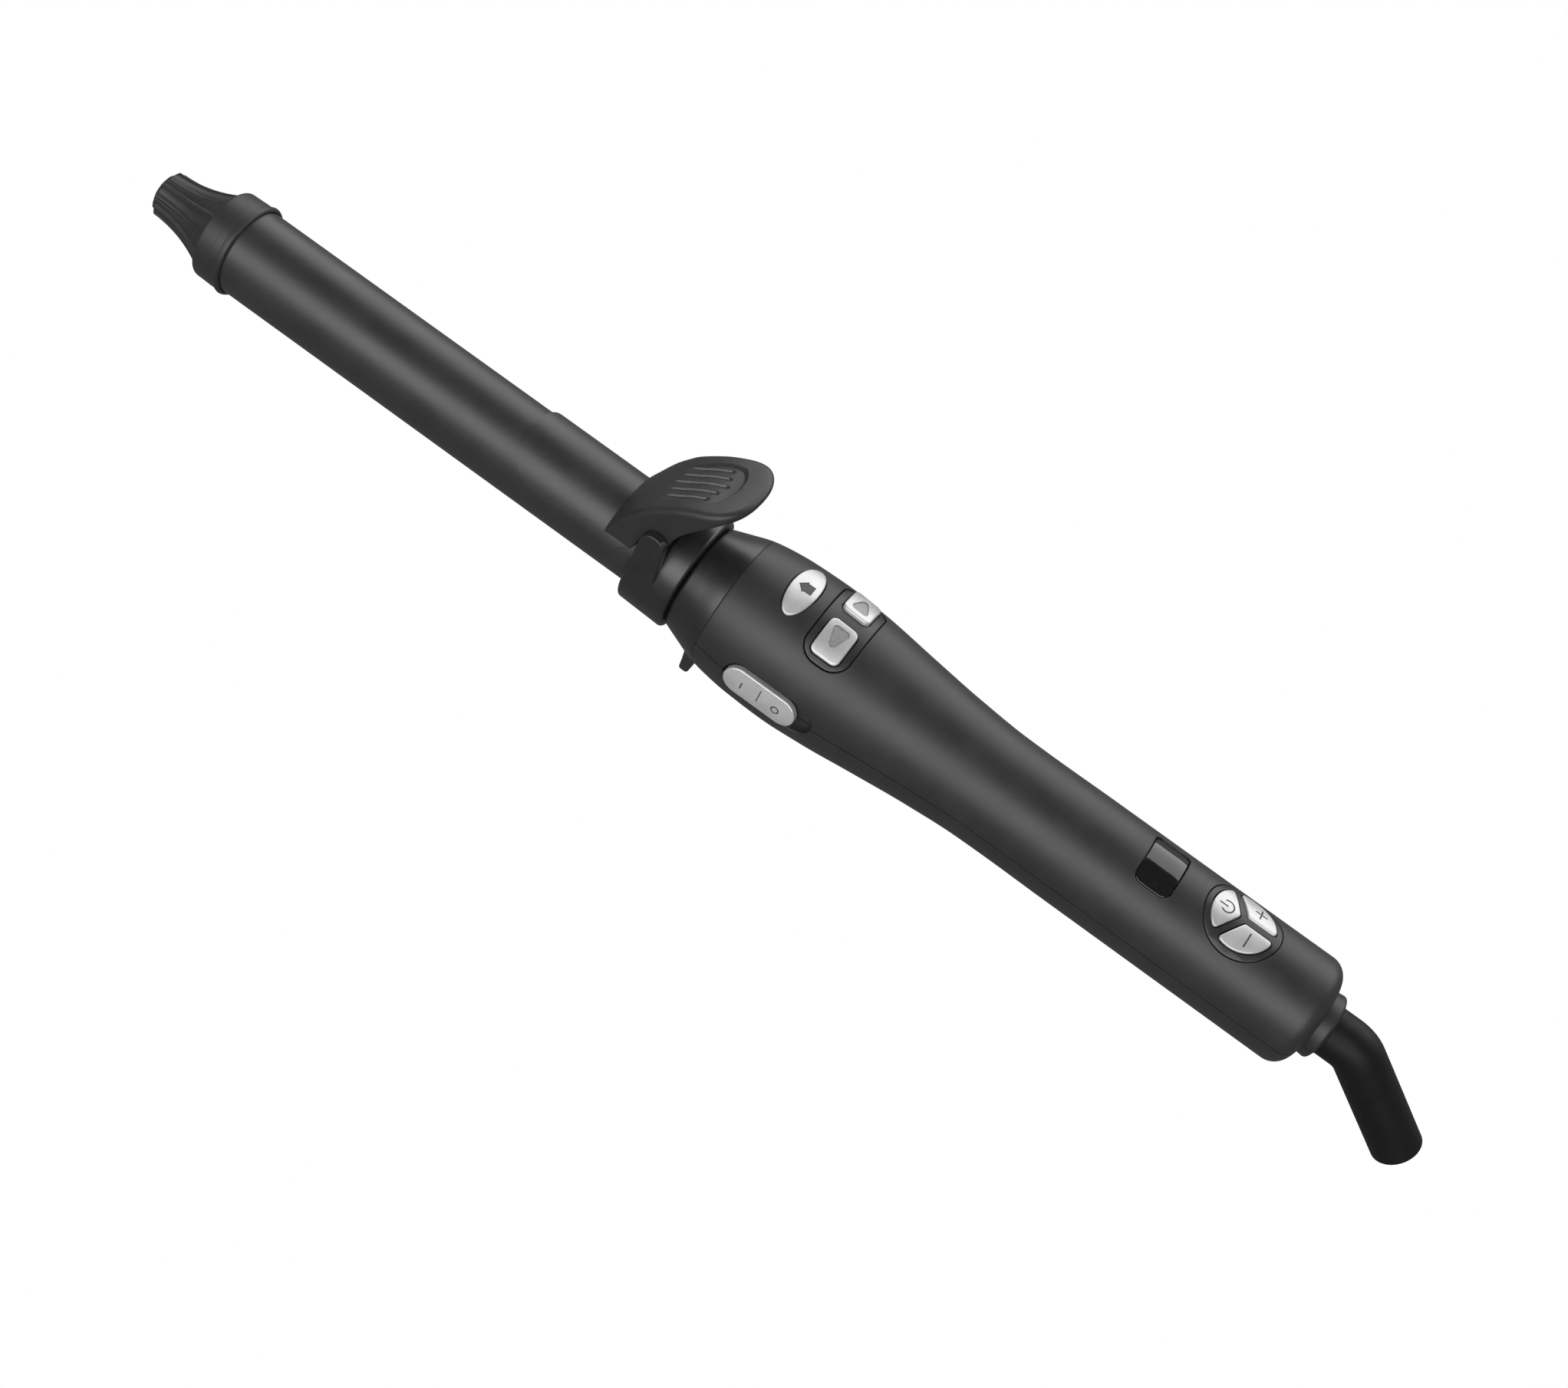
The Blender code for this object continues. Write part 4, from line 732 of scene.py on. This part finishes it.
def lever_block(name, stations, half_width, top, bottom):
    """Solid between a curved top and a curved underside, over a run of x stations."""
    across = 32
    sides = [-math.cos(math.pi * k / across) for k in range(across + 1)]
    ring = [(side, 1) for side in sides]
    ring += [(1, 0.75), (1, 0.5), (1, 0.25)]
    ring += [(-side, 0) for side in sides]
    ring += [(-1, 0.25), (-1, 0.5), (-1, 0.75)]

    def place(i, j):
        x = stations[j]
        side, level = ring[i % len(ring)]
        y = side * half_width(x)
        low, high = bottom(x, y), top(x, y)
        return x, y, low + (high - low) * level
    return formed(name, SOFT_TOUCH, len(ring) + 1, len(stations), place)


def pad_start(x):
    """Share of the pad's depth at x: it runs out softly towards the hinge."""
    return eased((x - PAD_EDGE[0][0]) / 7.0)


def pad_sink(x, y):
    """Depth of the thumb recess and of the dimples at the rear ends of its ribs."""
    depth = 0.0
    if x <= PAD_EDGE[-1][0]:
        steeper = PAD_STEEPER * eased((x - PAD_EDGE[-1][0] + 5.0) / 4.0)
        depth = ((PAD_DEPTH + steeper) * pad_start(x)
                 * eased((smooth_value(PAD_EDGE, x) - abs(y)) / 0.7))
    for rib_y, first, last in GRIP_RIBS:
        off_dot = math.hypot(x - last, y - rib_y) / DOT_RADIUS
        depth += DOT_DEPTH * max(1 - off_dot * off_dot, 0.0)
    return depth


def thumb_lever():
    """Saddle-shaped lever: a thumb paddle on two cheeks that hang on the hinge pin."""
    stations = spaced(-36.0, -15.0, 42) + spaced(PADDLE_BEND, LEVER_TIP - 1.2, 22)
    stations += [LEVER_TIP - drop for drop in (0.9, 0.6, 0.4, 0.25, 0.12, 0.04, 0.0)]
    lever = lever_block("thumb_paddle", stations, lever_half_width,
                        lambda x, y: lever_height(x, y) - rolled(x, y, LEVER_RIM),
                        lambda x, y: smooth_value(LEVER_FOOT, x) + 0.6 * rolled(x, y, 1.0))
    eye = arc(HINGE[0], HINGE[2], 2.8, 0, 350, 35)
    for side in (-1, 1):
        boss = upright("eye", SOFT_TOUCH, eye, side * (LEVER_HALF - 2.0), side * (EAR_INNER - 0.4))
        combined(lever, [boss], "UNION")
    hollow = lever_block("hollow", spaced(-27.6, -8.0, 24), lambda x: 9.2,
                         lambda x, y: lever_height(x, y) - 3.5, lambda x, y: -5.0)
    saddle = spun("saddle", SOFT_TOUCH, [(-14.0, 0.02), (-14.0, PLATE_OUTER + GAP),
                                         (-38.0, PLATE_OUTER + GAP), (-38.0, 0.02)], 96)
    combined(lever, [hollow])
    combined(lever, [saddle])
    bore = arc(HINGE[0], HINGE[2], PIN_BORE, 0, 345, 23)
    combined(lever, [upright("pin_bore", SOFT_TOUCH, bore, -20.0, 20.0)])
    drilled(lever, rivet_holes(), 5.0, 16.8)
    pick(lever)
    skin = lever.modifiers.new("one_skin", "REMESH")
    skin.mode = "VOXEL"
    skin.voxel_size = LEVER_SKIN
    bpy.ops.object.modifier_apply(modifier=skin.name)
    ease = lever.modifiers.new("ease", "SMOOTH")
    ease.factor = 0.5
    ease.iterations = 9
    bpy.ops.object.modifier_apply(modifier=ease.name)
    for vertex in lever.data.vertices:
        x, y, z = vertex.co
        if x >= -30.0 and z >= lever_height(x, y) - 1.0:
            vertex.co.z -= pad_sink(x, y)
    pick(lever, *[grip_rib(*rib) for rib in GRIP_RIBS])
    bpy.ops.object.join()
    place_piece(lever, "lever", "soft_touch_plastic", "thumb_lever", sharp=60.0)


def grip_rib(y, first, last):
    """One thin rounded rib in the thumb recess, tapered to nothing at both ends."""
    stations = spaced(first, last, 40)
    around = 12

    def place(i, j):
        x = stations[j]
        angle = 2 * math.pi * (i % around) / around
        ends = min(j, len(stations) - 1 - j) / 3.0
        size = 0.05 + (RIB_SIZE - 0.05) * math.sqrt(min(ends, 1.0))
        base = lever_height(x, y) - PAD_DEPTH * pad_start(x) + 0.08
        return x, y + size * math.cos(angle), base + size * 1.05 * math.sin(angle)
    # the ribs take the paler material: a painted highlight along their crests
    return formed("grip_rib", RIB_PAINTED_HIGHLIGHT, around + 1, len(stations), place)


# ---- handle ------------------------------------------------------------------------------
SHELL_LOWEST = 89.5      # phi of the seam faces, which leave a thin gap between the shells


def handle_outline():
    """Outline of the hollow handle, from the collar at the tail round to the inside."""
    fillet_x = SHELL_REAR - TAIL_FILLET
    bore = SLEEVE_RADIUS + 0.35
    outline = filleted([(TAIL_RING_REAR, bore, 0.15), (TAIL_RING_REAR, TAIL_RING_RADIUS, 0.7),
                        (SHELL_REAR, TAIL_RING_RADIUS, 0.0)], 4)
    outline += arc(fillet_x, GRIP_RADIUS - TAIL_FILLET, TAIL_FILLET, 4, 90, 14)
    outline += [(x, handle_radius(x)) for x in spaced(fillet_x - 1.5, SHELL_FRONT + 0.5, 118)]
    outline += [(SHELL_FRONT + 0.06, handle_radius(SHELL_FRONT) - 0.01),
                (SHELL_FRONT, handle_radius(SHELL_FRONT) - 0.08)]
    outline += [(x, handle_radius(x) - SHELL_WALL) for x in spaced(SHELL_FRONT, 96.0, 24)]
    outline += [(fillet_x, GRIP_RADIUS - SHELL_WALL), (SHELL_REAR - SHELL_WALL, 10.75),
                (SHELL_REAR - SHELL_WALL, bore)]
    return outline


PILL_X = middle(PILL)
ARROW_ARC = 7.75         # arc from the middle of the handle to the middle of an arrow button
ARROW_CAP = (4.25, 5.65, 1.8)
PILL_OPENING = rounded_box(PILL_X, 0.0, 6.9, 15.6, 5.6)
HOME_OPENING = oval(middle(HOME), 0.0, 4.25, 9.85)
WINDOW_OPENING = rounded_box(middle(WINDOW), 0.0, 5.4, 9.0, 2.6)
DIAL_X = middle(DIAL)
DIAL_OPENING = oval(DIAL_X, 0.0, 11.15, 11.45, 96)
SLIDER_X = middle(SLIDER)
SLIDER_HALF = 11.1
SLOT_OPENING = rounded_box(SLIDER_X + 2.0, 0.0, 13.8, 5.35, 5.3, 12)
POST_RADIUS = 3.0
SCREW_PLACES = [(46.0, 11.6), (46.0, -11.6), (SHELL_REAR - 86.0, 0.0), (SHELL_REAR - 10.5, 0.0)]
SCREW_BORE = 1.5
SCREW_SINK = 2.7         # radius of the counterbore that hides the screw head


def opening_tool(name, outline, low, rim, turn=0.0):
    """Cutter for an opening of the shell, its edge rounded outwards."""
    tool = stacked(name, SOFT_TOUCH, outline, flared(low, rim))
    sliced(tool, piece_low(tool, 1), piece_high(tool, 1), 1.2)
    return draped(tool, turn)


def shells():
    """Upper and lower handle shells with their openings, screw posts and slider recess."""
    halves = []
    for name, start in (("upper_shell", -SHELL_LOWEST), ("lower_shell", 180.0 - SHELL_LOWEST)):
        half = spun(name, SOFT_TOUCH, handle_outline(), 120, start, 2 * SHELL_LOWEST)
        side = 1.0 if start < 0.0 else -1.0
        for x, y in SCREW_PLACES:
            reach = math.sqrt(handle_radius(x) ** 2 - (abs(y) + POST_RADIUS) ** 2) - 0.5
            low, high = sorted((side * 0.15, side * reach))
            post = oval(x, y, POST_RADIUS, POST_RADIUS, 32)
            combined(half, [plug("screw_post", SOFT_TOUCH, post, low, high)], "UNION")
        combined(half, [opening_tool("slider_slot", SLOT_OPENING, -1.5, 0.3, 90.0)])
        halves.append(half)
    upper, lower = halves
    for name, outline, rim in (
            ("home_opening", HOME_OPENING, 0.22), ("pill_opening", PILL_OPENING, 0.3),
            ("window_opening", WINDOW_OPENING, 0.22), ("dial_opening", DIAL_OPENING, 0.16)):
        combined(upper, [opening_tool(name, outline, -6.0, rim)])
    for x, y in SCREW_PLACES:
        top = math.sqrt(handle_radius(x) ** 2 - y ** 2)
        bore = oval(x, y, SCREW_BORE, SCREW_BORE, 24)
        drilled(upper, [bore], -5.0, 8.0)
        drilled(lower, [bore], -40.0, 5.0)
        drilled(lower, [oval(x, y, SCREW_SINK, SCREW_SINK, 40)], -40.0, 4.0 - top)
    place_piece(upper, "handle", "soft_touch_plastic", "handle_shell_upper")
    place_piece(lower, "handle", "soft_touch_plastic", "handle_shell_lower")


def nose_ring():
    """Glossy ring that flares from the barrel's ring out to the shells."""
    front, rear = NOSE[0][0], 0.4
    spigot_rear = NOSE[1][0]
    spigot = handle_radius(SHELL_FRONT) - SHELL_WALL - 0.4
    hub_bore = 9.6
    bearing_bore = 13.5
    outline = [(spigot_rear, bearing_bore), (spigot_rear, spigot), (rear, spigot),
               (rear, handle_radius(rear) - 0.08), (rear - 0.06, handle_radius(rear) - 0.01)]
    outline += [(x, handle_radius(x)) for x in spaced(rear - 0.5, front + 0.6, 20)]
    outline += [(front + 0.25, NOSE_RADIUS - 0.08), (front, NOSE_RADIUS - 0.5), (front, hub_bore),
                (front + 1.6, hub_bore), (front + 1.6, bearing_bore)]
    ring = spun("flared_nose", GLOSS, outline)
    drilled(ring, [rounded_box(middle(FOOT), 0.0, 1.2, 4.3, 0.2, 3)], -30.0, -12.0)
    place_piece(ring, "handle", "gloss_plastic", "nose_ring")


def rest_foot():
    """Short foot under the nose: a slab with a round-cornered outline and a leaning front."""
    bottom = FOOT[0][2]
    x, half_y = -2.3, FOOT[1][1]
    outline = rounded_box(x, 0.0, 1.5, half_y, 0.9, 5)
    levels = [(-0.6, bottom), (-0.25, bottom + 0.1), (-0.05, bottom + 0.4), (0.0, bottom + 0.8),
              (0.15, bottom + 4.0), (0.5, bottom + 8.0), (1.0, -16.4)]
    foot = stacked("heel_foot", SOFT_TOUCH, outline, levels)
    seat = [(8.0, 0.02)] + [(s, handle_radius(s) + GAP) for s in spaced(8.0, -10.6, 16)]
    seat += [(-10.6, 0.02)]
    combined(foot, [spun("seat", SOFT_TOUCH, seat, 128)])
    tenon = rounded_box(x, 0.0, 0.9, 4.0, 0.2, 3)
    combined(foot, [plug("tenon", SOFT_TOUCH, tenon, -21.0, FOOT[1][2])], "UNION")
    place_piece(foot, "handle", "soft_touch_plastic", "rest_foot")


# ---- controls ----------------------------------------------------------------------------
def arrow_cap_outline(side):
    """Outline function of one arrow button, side = 1 towards the slider side."""
    half_x, half_arc, corner = ARROW_CAP
    return rounded_box(PILL_X, side * ARROW_ARC, half_x, half_arc, corner)


PRESS_GAP = 0.38         # round a cap; it presses straight down while its walls lean outwards


def bezels():
    """Recessed pill bezel, dial bezel and display window."""
    pill = stacked("pill_bezel", BEZEL, lambda grow: PILL_OPENING(grow - 0.22), [
        (0.0, -2.2), (0.0, -0.55), (-0.12, -0.4), (-0.3, -0.35)])
    drilled(pill, [arrow_cap_outline(side) for side in (-1, 1)], -5.0, 1.0, PRESS_GAP)
    sliced(pill, -15.6, 15.6, 1.0)
    place_piece(draped(pill), "handle", "bezel_plastic", "arrow_bezel")
    dial = stacked("dial_plate", BEZEL, lambda grow: DIAL_OPENING(grow - 0.2), [
        (0.0, -2.1), (0.0, -0.2), (-0.08, -0.08), (-0.22, -0.03)])
    drilled(dial, [sector_of(DIAL_X, direction) for direction in (180.0, 60.0, -60.0)],
            -5.0, 1.0, PRESS_GAP)
    sliced(dial, -11.4, 11.4, 1.0)
    place_piece(draped(dial), "handle", "bezel_plastic", "dial_bezel")
    window = stacked("display_lens", LENS, lambda grow: WINDOW_OPENING(grow - 0.25), [
        (0.0, -2.2), (0.0, -0.6), (-0.08, -0.5), (-0.25, -0.45)])
    sliced(window, -9.0, 9.0, 0.8)
    place_piece(draped(window), "handle", "smoked_lens", "display_window")


MARK_DEPTH = 0.12        # engraved marks; the arrow signs are deeper


def slab(points, top, depth=MARK_DEPTH):
    """Engraving tool from a small outline, cut to a depth below the top."""
    return plug("engraving", INK, lambda grow: points, top - depth, top + 1.0)


def bar(x0, y0, x1, y1, thick):
    """Outline of a straight stroke with square ends."""
    along = (Vector((x1, y1)) - Vector((x0, y0))).normalized()
    across = Vector((-along.y, along.x)) * thick / 2
    return [(x0 + across.x, y0 + across.y), (x0 - across.x, y0 - across.y),
            (x1 - across.x, y1 - across.y), (x1 + across.x, y1 + across.y)]


def house(x, y, size):
    """Outline of a plain house sign with its roof towards the tip, for the start position."""
    half = size / 2
    wall, eave = half * 0.72, x - half * 0.05
    return [(x + half, y - wall), (x + half, y + wall), (eave, y + wall), (eave, y + half),
            (x - half, y), (eave, y - half), (eave, y - wall)]


def home_button():
    """Oval button with a house sign."""
    x = middle(HOME)
    top = 0.5
    cap = stacked("home_cap", PLATING, oval(x, 0.0, 3.95, 9.6), crowned(-3.0, top, 0.45))
    combined(cap, [slab(house(x, 0.0, 4.4), top)])
    sliced(cap, -9.6, 9.6, 0.8)
    place_piece(draped(cap), "home", "satin_silver", "home_button")


def arrow_buttons():
    """Pair of raised buttons, each with a triangle that points away from the middle."""
    top = 0.75
    for name, side in (("left", 1), ("right", -1)):
        cap = stacked(name + "_cap", PLATING, arrow_cap_outline(side), crowned(-3.4, top, 0.5, 5))
        base, apex = side * 4.7, side * 9.0
        corners = [(PILL_X - 1.6, base, 0.06), (PILL_X + 1.6, base, 0.06), (PILL_X, apex, 0.06)]
        if side < 0:
            corners.reverse()
        sign = slab(filleted(corners, 2), top, 0.3)
        # the arrow sign's floor gets the darker plating: painted shade in the engraving
        sign.data.materials[0] = ENGRAVING_PAINTED_SHADE
        combined(cap, [sign])
        sliced(cap, -14.0, 14.0, 0.8)
        place_piece(draped(cap), name, "satin_silver", name + "_button")


def dial_buttons():
    """Three sector buttons: power towards the tip, plus and minus towards the cord."""
    top = 0.42
    signs = {}
    ring_x, ring_r, stroke = 150.1, 1.75, 0.42
    opening = 48.0
    outer = arc(ring_x, 0.0, ring_r + stroke / 2, 180 + opening, 540 - opening, 30)
    inner = arc(ring_x, 0.0, ring_r - stroke / 2, 540 - opening, 180 + opening, 30)
    signs["power"] = [outer + inner, bar(147.7, 0.0, 150.2, 0.0, stroke)]
    signs["plus"] = [bar(156.85, -4.75, 160.45, -4.75, 0.45),
                     bar(158.65, -6.65, 158.65, -2.85, 0.45)]
    signs["minus"] = [bar(158.55, 2.7, 158.55, 6.9, 0.45)]
    for name, direction in (("power", 180.0), ("plus", -60.0), ("minus", 60.0)):
        cap = stacked(name + "_cap", PLATING, sector_of(DIAL_X, direction),
                      crowned(-2.9, top, 0.4, 5))
        for sign in signs[name]:
            combined(cap, [slab(sign, top)])
        sliced(cap, -9.2, 9.2, 0.8)
        place_piece(draped(cap), name, "satin_silver", name + "_button")


def on_off_slider():
    """Pill-shaped slider on the side, marked with an I, a divider and an O."""
    base = BULGE_RADIUS - 0.1
    top = 0.8
    cap = stacked("slider_cap", PLATING, rounded_box(SLIDER_X, 0.0, SLIDER_HALF, 4.6, 4.55, 12),
                  crowned(-1.0, top, 0.5, 5))
    first, last = SLIDER_X - 5.4, SLIDER_X + 5.4
    outer = arc(last, 0.0, 1.25, 0, 360, 32)[:-1]
    for mark in (bar(first, -1.2, first, 1.2, 0.42), bar(SLIDER_X, -3.0, SLIDER_X, 1.6, 0.3)):
        combined(cap, [slab(mark, top)])
    ring = slab(outer, top)
    inner = [(last + (x - last) * 0.66, y * 0.66) for x, y in outer]
    combined(ring, [plug("core", INK, lambda grow: inner, top - 0.5, top + 2.0)])
    combined(cap, [ring])
    stem = rounded_box(SLIDER_X, 0.0, 3.0, 1.3, 0.2, 3)
    combined(cap, [plug("stem", PLATING, stem, -5.4, -0.6)], "UNION")
    sliced(cap, -4.6, 4.6, 0.5)
    place_piece(draped(cap, 90.0, base), "slider", "satin_silver", "on_off_slider")


# ---- bend relief -------------------------------------------------------------------------
def sleeve_point(distance):
    """Point and direction down the middle of the bend relief, distance along it from x = 0."""
    half = SLEEVE_BEND * math.tan(math.radians(SLEEVE_ANGLE / 2))
    bend_start = KNEE_X - half
    bend_length = SLEEVE_BEND * math.radians(SLEEVE_ANGLE)
    if distance <= bend_start:
        return Vector((distance, 0.0, 0.0)), 0.0
    if distance <= bend_start + bend_length:
        turn = (distance - bend_start) / SLEEVE_BEND
        return Vector((bend_start + SLEEVE_BEND * math.sin(turn), 0.0,
                       -SLEEVE_BEND * (1 - math.cos(turn)))), turn
    slope = math.radians(SLEEVE_ANGLE)
    past = distance - bend_start - bend_length + half
    return Vector((KNEE_X + past * math.cos(slope), 0.0, -past * math.sin(slope))), slope


def bend_relief():
    """Thick rubber sleeve with one soft bend, a rounded open end and a flange inside the tail."""
    half = SLEEVE_BEND * math.tan(math.radians(SLEEVE_ANGLE / 2))
    length = KNEE_X - half + SLEEVE_BEND * math.radians(SLEEVE_ANGLE) + SLEEVE_LEG - half
    flange_front, flange_rear = SHELL_REAR - 6.4, SHELL_REAR - SHELL_WALL - GAP
    line = [(flange_front, SLEEVE_BORE), (flange_front, SLEEVE_RADIUS + 1.8),
            (flange_rear, SLEEVE_RADIUS + 1.8), (flange_rear, SLEEVE_RADIUS)]
    line += [(d, SLEEVE_RADIUS) for d in spaced(flange_rear + 0.6, length - 1.1, 52)]
    rim = 1.0
    line += [(length - drop, SLEEVE_RADIUS - inset) for inset, drop in rounding(rim, 6)]
    line += [(length, SLEEVE_BORE + 0.5), (length - 0.15, SLEEVE_BORE + 0.15),
             (length - 0.5, SLEEVE_BORE)]
    line += [(d, SLEEVE_BORE) for d in spaced(length - 2.0, flange_front + 2.0, 40)]
    line.append(line[0])
    around = 96

    def place(i, j):
        distance, radius = line[j]
        centre, slope = sleeve_point(distance)
        phi = 2 * math.pi * (i % around) / around
        up = radius * math.cos(phi)
        return (centre.x + up * math.sin(slope), -radius * math.sin(phi),
                centre.z + up * math.cos(slope))
    piece = formed("rubber_sleeve", RUBBER, around + 1, len(line), place)
    place_piece(piece, "sleeve", "black_rubber", "bend_relief")


# ---- inner pieces ------------------------------------------------------------------------
INNER_FINISHES = {
    "barrel_hub": NYLON, "drive_coupling": NYLON, "motor_cradle": NYLON, "brush_block": NYLON,
    "slide_switch": NYLON, "front_bearing": BRASS, "slip_ring_front": BRASS,
    "slip_ring_rear": BRASS, "heater_core": CERAMIC, "thermal_fuse": CERAMIC,
    "display_module": CERAMIC, "heater_shoe_upper": ALUMINIUM, "heater_shoe_lower": ALUMINIUM,
    "front_board": BOARD, "rear_board": BOARD, "supply_leads": RUBBER,
}


def inner_pieces():
    """Give every CAD node that stays its real finish."""
    for name, node in frame["nodes"].items():
        kept = INNER_FINISHES.get(name, STEEL)
        if name.startswith("tact_switch"):
            kept = NYLON
        node.data.materials.clear()
        node.data.materials.append(kept)


# ---- studio ------------------------------------------------------------------------------
CAMERA_PLACE = (0.08007, -0.36839, 0.46703)
CAMERA_RIGHT = Vector((0.80668, 0.50288, 0.31045))
CAMERA_UP = Vector((-0.58404, 0.59807, 0.54883))
CAMERA_FORWARD = Vector((-0.09032, 0.62404, -0.77615))
STRIP_LENGTH = 1.6
STRIP_DISTANCE = 0.75


def strip_light(name, phi, width, power):
    """Long soft box that lies along the handle and shines on it from an angle round the axis."""
    lamp = bpy.data.lights.new(name, "AREA")
    lamp.shape = "RECTANGLE"
    lamp.size = STRIP_LENGTH
    lamp.size_y = width
    lamp.energy = power
    holder = bpy.data.objects.new(name, lamp)
    bpy.context.scene.collection.objects.link(holder)
    turn = math.radians(phi)
    away = Vector((0.0, -math.sin(turn), math.cos(turn)))
    side = Vector((1.0, 0.0, 0.0))
    turned = Matrix((side, away.cross(side), away)).transposed().to_4x4()
    holder.matrix_world = Matrix.Translation(AXIS + away * STRIP_DISTANCE) @ turned


def studio():
    """Camera, two strip soft boxes, and a white room and floor that light the piece weakly."""
    camera = bpy.data.cameras.new("camera")
    camera.lens = 50.0
    camera.sensor_width = 36.0
    holder = bpy.data.objects.new("camera", camera)
    bpy.context.scene.collection.objects.link(holder)
    turned = Matrix((CAMERA_RIGHT, CAMERA_UP, -CAMERA_FORWARD)).transposed().to_4x4()
    holder.matrix_world = Matrix.Translation(CAMERA_PLACE) @ turned
    bpy.context.scene.camera = holder
    bpy.context.scene.view_settings.view_transform = "Standard"
    strip_light("near_strip", 57.0, 0.5, 9.4)
    strip_light("far_strip", -52.0, 0.66, 8.2)
    world = bpy.data.worlds.new("studio")
    bpy.context.scene.world = world
    world.use_nodes = True
    tree = world.node_tree
    tree.nodes.clear()
    where = add(tree, "ShaderNodeTexCoord")
    height = add(tree, "ShaderNodeSeparateXYZ", {"Vector": where.outputs["Generated"]})
    room = add(tree, "ShaderNodeMapRange", {"Value": height.outputs["Z"], "From Min": 0.15,
                                            "From Max": 0.75, "To Min": 0.36, "To Max": 0.03},
               interpolation_type="SMOOTHSTEP")
    white_to_camera(tree, "ShaderNodeBackground", "ShaderNodeOutputWorld", room.outputs["Result"])
    bpy.ops.object.select_all(action="DESELECT")
    bpy.ops.mesh.primitive_plane_add(size=8.0)
    floor = bpy.context.object
    floor.name = "studio_floor"
    paper = bpy.data.materials.new("white_paper")
    paper.use_nodes = True
    paper.node_tree.nodes.clear()
    white_to_camera(paper.node_tree, "ShaderNodeEmission", "ShaderNodeOutputMaterial", 0.2)
    floor.data.materials.append(paper)


def white_to_camera(tree, kind, output_kind, level):
    """Surface that the camera sees as white and that lights the object only at a low level."""
    path = add(tree, "ShaderNodeLightPath")
    strength = add(tree, "ShaderNodeMapRange", {"Value": path.outputs["Is Camera Ray"],
                                                "To Min": level, "To Max": 1.0})
    glow = add(tree, kind, {"Color": (1.0, 1.0, 1.0, 1.0), "Strength": strength.outputs["Result"]})
    output = add(tree, output_kind)
    tree.links.new(glow.outputs[0], output.inputs["Surface"])


for make in (inner_pieces, cool_tip, tip_collar, barrel_tube, clamp_plate, hinge_bracket,
             thumb_lever, shells, nose_ring, rest_foot, bezels, home_button, arrow_buttons,
             dial_buttons, on_off_slider, bend_relief, studio):
    make()
